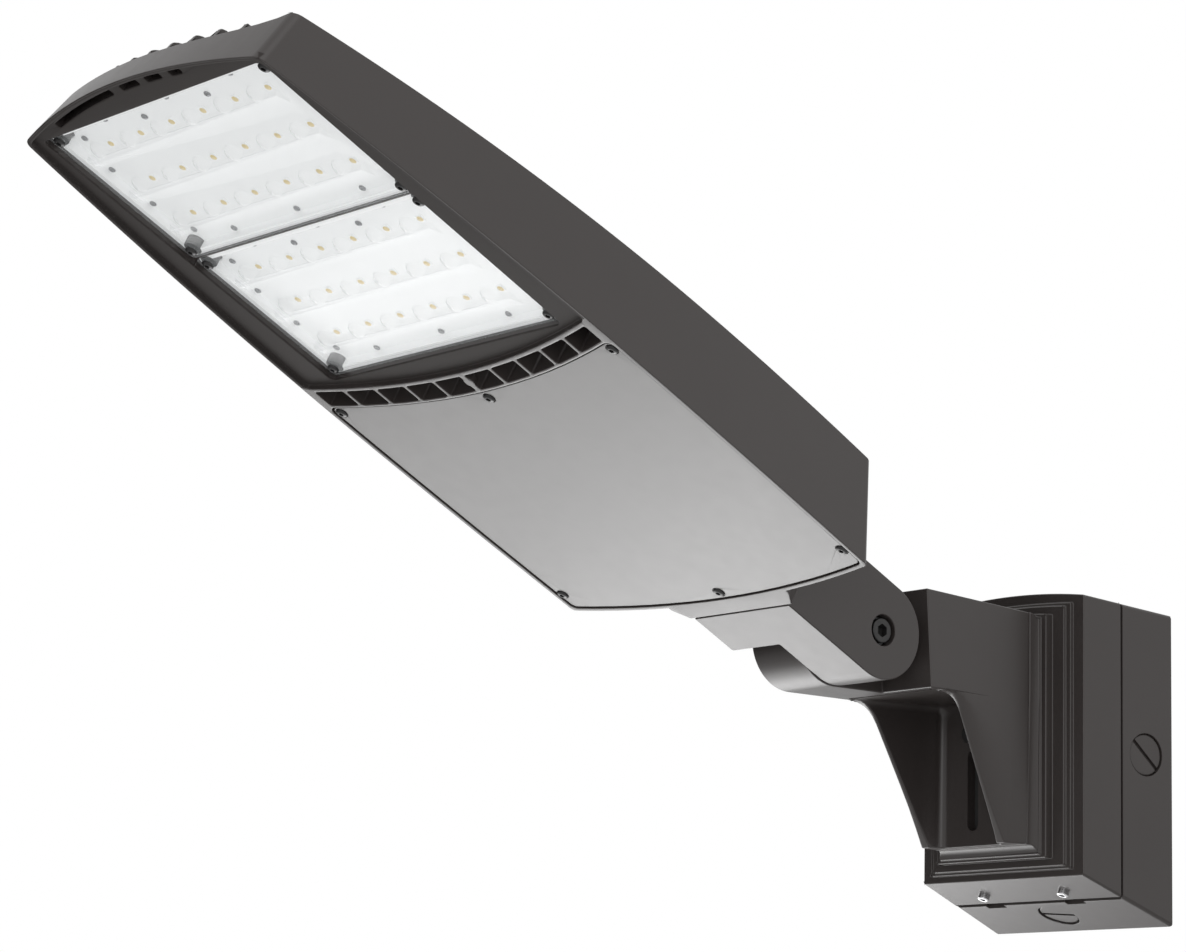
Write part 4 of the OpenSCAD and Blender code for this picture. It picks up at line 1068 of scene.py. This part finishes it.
root = lofted("root", [root_outline(x) for x in span(root_foot, bracket_depth + root_length, 8)])
cut(bracket, root, "UNION")
inside = drafted("inside", box_depth, bracket_depth - box_wall, box_wall, 0)
cut(bracket, inside)
clamp_at = 0.067
clamp_pitch = 0.087
soften(bracket, 0.0010, 3)
settle(bracket, "wall_side", "bronze_paint", "wall_bracket", place=on_wall)

# %% [markdown]
# ## The conduit box
#
# The box is open towards the bracket. Threaded entries for conduit lie on all four sides, closed
# by plugs with a wide slot. Two notches beside the clamping screws leave room for a wrench, and a
# shallow groove along the lower edge draws the dark line below the bracket.

# %% Conduit box
entry_at = 0.027
entry_height = 0.010
entry_radius = 0.0166
entry_boss = 0.014
side_draft = atan2(box_half - bracket_half, bracket_depth)
bottom_draft = atan2(box_half_height - bracket_bottom, bracket_depth)
top_draft = atan2(bracket_top - box_half_height, bracket_depth)
entries = {}
for name, side in (("right", 1), ("left", -1)):
    on_face = (entry_at, side * drawn(box_half, bracket_half, entry_at), entry_height)
    entries[name] = (Matrix.Translation(on_face) @ Matrix.Rotation(-side * side_draft, 4, "Z")
                     @ Matrix.Rotation(-side * pi / 2, 4, "X"))
entries["bottom"] = (Matrix.Translation((entry_at, 0, drawn(-box_half_height, -bracket_bottom, entry_at)))
                     @ Matrix.Rotation(-bottom_draft, 4, "Y") @ Matrix.Rotation(pi, 4, "X"))
entries["top"] = (Matrix.Translation((entry_at, 0, drawn(box_half_height, bracket_top, entry_at) + arch_rise))
                  @ Matrix.Rotation(-top_draft, 4, "Y"))


def placed(piece, place):
    hold(piece)
    piece.matrix_world = place
    bpy.ops.object.transform_apply(location=True, rotation=True, scale=True)
    return piece


conduit = drafted("conduit_housing", 0, box_depth, 0, 0.003)
cut(conduit, drafted("inside", box_wall, box_depth + 0.001, box_wall, 0))
for place in entries.values():
    boss = placed(round_bar("boss", entry_radius + 0.005, (0, 0, -entry_boss), entry_boss - 0.002), place)
    cut(conduit, boss, "UNION")
    cut(conduit, placed(round_bar("entry", entry_radius + 0.0002, (0, 0, -0.03), 0.05, corners=64), place))
notch_width = 0.020
low_edge = drawn(-box_half_height, -bracket_bottom, box_depth)
for side in (-1, 1):
    y = side * clamp_pitch / 2 - 0.8 * notch_width
    top = low_edge + box_wall / 2
    cut(conduit, block("notch", (box_depth - 0.006, y, -0.2), (box_depth + 0.01, y + notch_width, top)))
groove_half = 0.0885
cut(conduit, block("groove", (box_depth - 0.0022, -groove_half, low_edge - 0.01),
                   (box_depth + 0.001, groove_half, low_edge + 0.003)))
soften(conduit, 0.0005)
settle(conduit, "wall_side", "bronze_paint", "conduit_box", place=on_wall)

# %% [markdown]
# A plug is turned with a small chamfer around its face. Its slot is cut across the whole face,
# and each plug stands in its entry at the angle at which it happened to be tight.

# %% Conduit plugs
plug_recess = 0.0012


def plug(name, turn):
    face = -plug_recess
    piece = turned(name, [(0, face), (entry_radius - 0.0012, face), (entry_radius, face - 0.0010),
                          (entry_radius, -entry_boss), (0, -entry_boss)], 64)
    slot = block("slot", (-0.02, -0.0014, face - 0.0025), (0.02, 0.0014, 0.01))
    cut(piece, placed(slot, Matrix.Rotation(turn, 4, "Z")))
    return soften(piece, 0.0003)


sides = [placed(plug("plug", radians(turn)), entries[name]) for name, turn in (("right", -42), ("left", 25))]
settle(joined("side_plug_pair", sides), "wall_side", "bronze_paint", "side_plugs", place=on_wall)
for name, turn in (("bottom", 80), ("top", 15)):
    disc = plug(name + "_plug_disc", radians(turn))
    settle(disc, "wall_side", "bronze_paint", name + "_plug", place=entries[name])

# %% [markdown]
# The clamping screws are bright set screws that stick out under the bracket, with a socket in
# their lower end.

# %% Clamping screws
clamp_radius = 0.0045
clamp_out = 0.004
clamp_in = 0.011
screw = turned("clamp_screw_pair", [(0, -clamp_out), (0.0038, -clamp_out), (clamp_radius, -0.0033),
                                    (clamp_radius, 0.0105), (0.0035, clamp_in), (0, clamp_in)])
cut(screw, round_bar("socket", 0.0024, (0, 0, -0.006), 0.006, corners=6))
soften(screw, 0.0002)
pair = []
for side in (-1, 1):
    hold(screw)
    bpy.ops.object.duplicate(linked=False)
    on_face = (clamp_at, side * clamp_pitch / 2, drawn(-box_half_height, -bracket_bottom, clamp_at))
    upright = Matrix.Rotation(-bottom_draft, 4, "Y")
    pair.append(placed(bpy.context.object, Matrix.Translation(on_face) @ upright))
bpy.data.objects.remove(screw)
settle(joined("clamp_screw_pair", pair), "wall_side", "bright_steel", "clamp_screws", place=on_wall)

# %% [markdown]
# ## Finishes
#
# Shader maths reads best as plain expressions. Wire wraps one output socket, and Python's
# operators on it add Math nodes, also with the number first, as in 1 - mask. Every other node
# comes from Finish.node, which makes its settings first and then fills its sockets.

# %% Write shaders as expressions
class Wire:
    """An output socket of a material, on which +, -, *, / and ** add Math nodes."""

    def __init__(self, finish, socket):
        self.finish = finish
        self.socket = socket

    def math(self, operation, *values):
        return self.finish.node("ShaderNodeMath", {"operation": operation}, dict(enumerate(values)))

    def __add__(self, other):
        return self.math("ADD", self, other)

    def __sub__(self, other):
        return self.math("SUBTRACT", self, other)

    def __rsub__(self, other):
        return self.math("SUBTRACT", other, self)

    def __mul__(self, other):
        return self.math("MULTIPLY", self, other)

    def __truediv__(self, other):
        return self.math("DIVIDE", self, other)

    def __rtruediv__(self, other):
        return self.math("DIVIDE", other, self)

    def __pow__(self, other):
        return self.math("POWER", self, other)

    def above(self, level, blur):
        """0 below the level and 1 above it, with a soft step."""
        return self.finish.node("ShaderNodeMapRange", {"interpolation_type": "SMOOTHSTEP"},
                                {"Value": self, "From Min": level - blur, "From Max": level + blur})

    __radd__ = __add__
    __rmul__ = __mul__


class Finish:
    """A material around one Principled shader. Constants go straight onto its sockets."""

    def __init__(self, name, **constants):
        self.material = bpy.data.materials.new(name)
        self.material.use_nodes = True
        self.tree = self.material.node_tree
        self.shader = self.tree.nodes["Principled BSDF"]
        for socket, value in constants.items():
            self.shader.inputs[socket.replace("_", " ")].default_value = value
        self.place = self.node("ShaderNodeTexCoord", output="Object")

    def node(self, kind, settings=None, sockets=None, output=0):
        made = self.tree.nodes.new(kind)
        for setting, value in (settings or {}).items():
            setattr(made, setting, value)
        for socket, value in (sockets or {}).items():
            self.feed(made.inputs[socket], value)
        return Wire(self, made.outputs[output])

    def feed(self, socket, value):
        if isinstance(value, Wire):
            self.tree.links.new(value.socket, socket)
        else:
            socket.default_value = value

    def noise(self, size, detail=3.0, roughness=0.5):
        """Cloudy noise from 0 to 1, with features of about this size in metres."""
        return self.node("ShaderNodeTexNoise", {"noise_dimensions": "3D"},
                         {"Vector": self.place, "Scale": 1 / size, "Detail": detail, "Roughness": roughness})

    def mixed(self, factor, first, second):
        """A colour between two colours."""
        return self.node("ShaderNodeMix", {"data_type": "RGBA"},
                         {0: factor, 6: (*first, 1.0), 7: (*second, 1.0)}, output=2)

    def bump(self, height, strength, distance):
        self.set(Normal=self.node("ShaderNodeBump", None,
                                  {"Height": height, "Strength": strength, "Distance": distance}))

    def set(self, **wires):
        for socket, value in wires.items():
            self.feed(self.shader.inputs[socket.replace("_", " ")], value)


print("shader helpers ready")

# %% [markdown]
# The castings wear a dark bronze powder coat. It is not quite smooth: the film has a fine
# orange-peel texture under a millimetre across, it is a little glossier in places, and its tone
# drifts slightly over the casting. The bump stays small, because a strong one looks like sand.
# Around the light engines the coat carries painted shade: there it turns matt and mirrors almost nothing,
# which stands in for the shade in that recessed frame. That frame is found by its place on the head, with the
# head's own curves turned into a mask of four soft steps.

# %% Powder coats
side_left, front_left = 0.0014, 0.0016


def powder_coat(name, dark, light, gloss, grain):
    finish = Finish(name, IOR=1.5)
    drift = finish.noise(0.09, 2.0)
    finish.set(Base_Color=finish.mixed(drift, dark, light))
    finish.set(Roughness=gloss + finish.noise(0.012, 4.0) * 0.06)
    finish.bump(finish.noise(grain, 2.0) + finish.noise(grain * 4, 1.0) * 0.6, 0.25, 0.00006)
    return finish


def dull_frame(finish):
    """Paints shade on the underside from the vents to the front, inside the outer edge: the coat turns matt
    there and mirrors almost nothing.
    """
    x, y, z = (finish.node("ShaderNodeSeparateXYZ", None, {0: finish.place}, output=k) for k in range(3))
    u = (x - pivot.x) * cos(tilt) + (z - pivot.z) * sin(tilt) - pivot_at
    w = (z - pivot.z) * cos(tilt) - (x - pivot.x) * sin(tilt) + knuckle_radius
    taper = (u - widest_at) / (head_length - widest_at)
    front = u + y * y * (front_bulge / side_v(head_length) ** 2)
    past_vents = (u - y * y / (2 * vent_radius)).above(vent_at + vent_width + 0.005, 0.0004)
    beside = 1 - ((y * y) ** 0.5 + taper * taper * taper_front).above(head_width / 2 - side_left, 0.0003)
    before = 1 - front.above(head_length + front_bulge - front_left, 0.0003)
    low = 1 - w.above(frame_depth + 0.0015, 0.0004)
    tone = finish.mixed(finish.noise(0.05), (0.040, 0.035, 0.033), (0.046, 0.041, 0.039))
    # Painted shade: a matt coat that mirrors almost nothing, standing in for the shade in the recessed frame.
    dull = finish.node("ShaderNodeBsdfPrincipled", None, {"Roughness": 0.62, "Specular IOR Level": 0.12,
                                                          "Base Color": tone})
    glossy = Wire(finish, finish.shader.outputs[0])
    frame_mask = past_vents * beside * before * low
    both = finish.node("ShaderNodeMixShader", None, {0: frame_mask, 1: glossy, 2: dull})
    finish.feed(finish.tree.nodes["Material Output"].inputs["Surface"], both)
    return finish


finishes = {
    "bronze_paint": dull_frame(powder_coat(
        "bronze powder coat", (0.037, 0.031, 0.029), (0.045, 0.038, 0.036), 0.33, 0.0007)).material,
    # The door has the same coat as the castings; this lighter, smoother copy is painted light, standing in
    # for the bright reflection the door shows from below.
    "door_paint": powder_coat(
        "smooth bronze coat", (0.052, 0.048, 0.045), (0.058, 0.053, 0.050), 0.30, 0.0009).material,
}
print(list(finishes))

# %% [markdown]
# Rubber is dull and near black. Screws are blackened steel with worn, brighter patches. Zinc and
# stainless steel are metals with fine scratches around their brighter face.

# %% Rubber and metals
def rubber():
    finish = Finish("silicone rubber", IOR=1.45)
    finish.set(Base_Color=finish.mixed(finish.noise(0.02), (0.018, 0.018, 0.018), (0.03, 0.03, 0.03)))
    finish.set(Roughness=0.65 + finish.noise(0.004) * 0.2)
    finish.bump(finish.noise(0.001), 0.3, 0.00005)
    return finish.material


def steel(name, dark, light, roughness, metallic=1.0):
    finish = Finish(name, Metallic=metallic)
    finish.set(Base_Color=finish.mixed(finish.noise(0.006, 5.0), dark, light))
    finish.set(Roughness=roughness + finish.noise(0.0015, 4.0) * 0.15)
    finish.bump(finish.noise(0.0006, 3.0), 0.15, 0.00004)
    return finish.material


finishes["black_rubber"] = rubber()
finishes["dark_steel"] = steel("blackened steel", (0.025, 0.025, 0.026), (0.055, 0.054, 0.053), 0.28, 0.6)
finishes["zinc_steel"] = steel("zinc plated steel", (0.14, 0.14, 0.145), (0.24, 0.24, 0.25), 0.28)
finishes["bright_steel"] = steel("stainless steel", (0.72, 0.72, 0.73), (0.85, 0.85, 0.86), 0.12)
finishes["green_steel"] = steel("green dyed screw", (0.04, 0.24, 0.08), (0.08, 0.36, 0.13), 0.3)
finishes["driver_case"] = steel("pressed aluminium", (0.58, 0.59, 0.60), (0.74, 0.75, 0.76), 0.32)
print(len(finishes), "finishes")

# %% [markdown]
# The boards and the chips' packages are white lacquer with a faint painted glow, which stands in for the
# light that reaches them through the clear plates. The phosphor windows are a warm yellow, and the lens
# plates clear acrylic. The acrylic is mostly let through, and where it turns away from the eye it shows more
# of its own gloss, which is how thin clear mouldings look.

# %% Boards, phosphor and clear acrylic
def lacquer():
    # The emission is a painted glow: the boards are no lamps.
    finish = Finish("white lacquer", IOR=1.5, Emission_Color=(1, 1, 1, 1), Emission_Strength=0.16)
    finish.set(Base_Color=finish.mixed(finish.noise(0.015), (0.88, 0.89, 0.89), (0.95, 0.96, 0.96)))
    finish.set(Roughness=0.30 + finish.noise(0.003) * 0.12)
    finish.bump(finish.noise(0.0008), 0.2, 0.00003)
    return finish.material


def phosphor():
    finish = Finish("yellow phosphor", IOR=1.43)
    finish.set(Base_Color=finish.mixed(finish.noise(0.0008), (0.86, 0.62, 0.20), (0.95, 0.78, 0.36)))
    finish.set(Roughness=0.22 + finish.noise(0.0005) * 0.1)
    finish.bump(finish.noise(0.0003), 0.2, 0.00002)
    return finish.material


def acrylic():
    finish = Finish("clear acrylic", IOR=1.49)
    turned_away = finish.node("ShaderNodeLayerWeight", None, {"Blend": 0.35}, output="Facing")
    finish.set(Base_Color=finish.mixed(finish.noise(0.01), (0.88, 0.92, 0.93), (0.94, 0.97, 0.98)))
    finish.set(Roughness=0.04 + finish.noise(0.004) * 0.04)
    finish.set(Alpha=0.06 + turned_away ** 2.0 * 0.45)
    return finish.material


def moulded(name, dark, light):
    finish = Finish(name, IOR=1.46)
    finish.set(Base_Color=finish.mixed(finish.noise(0.01), dark, light))
    finish.set(Roughness=0.45 + finish.noise(0.002) * 0.15)
    finish.bump(finish.noise(0.0006), 0.3, 0.00004)
    return finish.material


finishes["white_board"] = lacquer()
finishes["led_phosphor"] = phosphor()
finishes["clear_lens"] = acrylic()
finishes["black_plastic"] = moulded("black moulding", (0.035, 0.035, 0.04), (0.06, 0.06, 0.065))
finishes["ivory_plastic"] = moulded("ivory moulding", (0.78, 0.75, 0.66), (0.88, 0.85, 0.78))
print(len(finishes), "finishes")

# %% [markdown]
# Each piece names its slot of the record, and each CAD node has one there too. So one loop
# dresses both, the new pieces and the hidden parts that keep their CAD shape.

# %% Put the finishes on
slot_of = {part["node"]: part["material_slot"] for part in frame["record"]["subparts"]}
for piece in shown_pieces():
    slot = piece.get("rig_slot") or slot_of[piece["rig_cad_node"]]
    piece.data.materials.clear()
    piece.data.materials.append(finishes[slot])

# %% [markdown]
# ## The studio
#
# The light hangs over a pale floor. The world is white for the eye, for glossy reflections and
# through clear pieces, and a softer grey for the light it sheds, so that the castings keep some
# shape. The floor lies below the view and keeps the shadow.

# %% Floor and world
floor_level = -1.6
let_go()
bpy.ops.mesh.primitive_plane_add(size=30, location=(0, 0, floor_level))
floor = bpy.context.object
floor.name = "floor"
floor_finish = Finish("pale floor", Roughness=0.8)
pale = floor_finish.mixed(floor_finish.noise(0.5), (0.84, 0.84, 0.84), (0.86, 0.86, 0.86))
floor_finish.set(Base_Color=pale)
floor.data.materials.append(floor_finish.material)
floor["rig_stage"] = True

world = bpy.data.worlds.new("studio")
bpy.context.scene.world = world
world.use_nodes = True
nodes, links = world.node_tree.nodes, world.node_tree.links
background = nodes["Background"]
background.inputs["Color"].default_value = (1, 1, 1, 1)
rays = nodes.new("ShaderNodeLightPath")
seen = rays.outputs["Is Camera Ray"]
for ray in ("Is Glossy Ray", "Is Transmission Ray"):
    either = nodes.new("ShaderNodeMath")
    either.operation = "MAXIMUM"
    links.new(seen, either.inputs[0])
    links.new(rays.outputs[ray], either.inputs[1])
    seen = either.outputs[0]
ambient = 0.65
strength = nodes.new("ShaderNodeMapRange")
strength.inputs["To Min"].default_value = ambient
strength.inputs["To Max"].default_value = 1.0
links.new(seen, strength.inputs["Value"])
links.new(strength.outputs[0], background.inputs["Strength"])
print("ambient", ambient)

# %% [markdown]
# A dark coat shows its form mostly by what it mirrors. One large softbox stands low on the far
# side, where the undersides mirror it, and turns them pale, with a small one beside it for the
# knuckle. A weaker one from above the camera draws the sides and the upper edges, and a narrow one
# close to the camera draws the fine ridges of the bracket.

# %% Softboxes
def softbox(name, place, target, size, radiance):
    lamp = bpy.data.lights.new(name, "AREA")
    lamp.shape = "RECTANGLE"
    lamp.size, lamp.size_y = size
    lamp.energy = radiance * pi * size[0] * size[1]
    holder = bpy.data.objects.new(name, lamp)
    bpy.context.scene.collection.objects.link(holder)
    holder.location = place
    holder.rotation_euler = (Vector(target) - Vector(place)).to_track_quat("-Z", "Y").to_euler()
    holder.visible_camera = False
    print(name, "at", place, "energy", round(lamp.energy, 1))


softbox("low softbox", (-0.05, -1.25, -0.90), (0.35, 0, 0.05), (1.2, 1.1), 3.2)
softbox("knuckle softbox", (-0.10, -1.15, -0.86), (0.25, 0, 0.05), (0.40, 0.5), 2.5)
softbox("high softbox", (0.9, 1.4, 1.8), (0.3, 0, 0.1), (1.2, 1.2), 0.8)
softbox("edge softbox", (2.1, 1.75, 0.25), (0.2, 0, 0.05), (0.5, 0.9), 4.0)

# %% [markdown]
# The bracket's front would mirror the bright world on that same side and lose its depth. A
# photographer hangs a black cloth where such a face mirrors it. The cloth here is hidden from the
# camera and is part of the stage, so it is no piece of the object.

# %% Black cloth beside the light
let_go()
bpy.ops.mesh.primitive_plane_add(size=1.5)
cloth = bpy.context.object
cloth.name = "dark_flag"
cloth.location = (1.10, -1.20, 0.30)
cloth.rotation_euler = Vector((-0.61, 0.77, -0.18)).to_track_quat("Z", "Y").to_euler()
cloth_finish = Finish("black cloth", Roughness=0.9)
weave = cloth_finish.mixed(cloth_finish.noise(0.01), (0.012, 0.012, 0.012), (0.02, 0.02, 0.02))
cloth_finish.set(Base_Color=weave)
cloth.data.materials.append(cloth_finish.material)
cloth.visible_camera = False
cloth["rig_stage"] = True
print("cloth at", tuple(round(c, 2) for c in cloth.location))

# %% [markdown]
# The camera stands below the light and looks up at it with a long lens. Its place, axes and
# focal length come from matching known sizes on the real light to the photograph, and a small
# shift frames the picture as the photograph does.

# %% Camera
camera = bpy.data.objects.new("camera", bpy.data.cameras.new("camera"))
bpy.context.scene.collection.objects.link(camera)
bpy.context.scene.camera = camera
camera.data.sensor_width = 36
camera.data.lens = 115.38
camera.data.shift_x = 0.0352
camera.data.shift_y = -0.0176
camera.data.clip_end = 100
right, up, back = (-0.78101, 0.62401, 0.02529), (0.13438, 0.12836, 0.98258), (0.60989, 0.7708, -0.18411)
axes = Matrix((right, up, back)).transposed().to_4x4()
camera.matrix_world = Matrix.Translation((2.2387, 2.1287, -0.3193)) @ axes
bpy.context.scene.view_settings.view_transform = "Standard"
print("lens", camera.data.lens)

# %% Sizes and finish
visual_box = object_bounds()
for name, cad_corner, visual_corner in zip(("low", "high"), cad_box, visual_box):
    print(name, "corner, mm past it:", [round((b - a) * 1000, 2) for a, b in zip(cad_corner, visual_corner)])
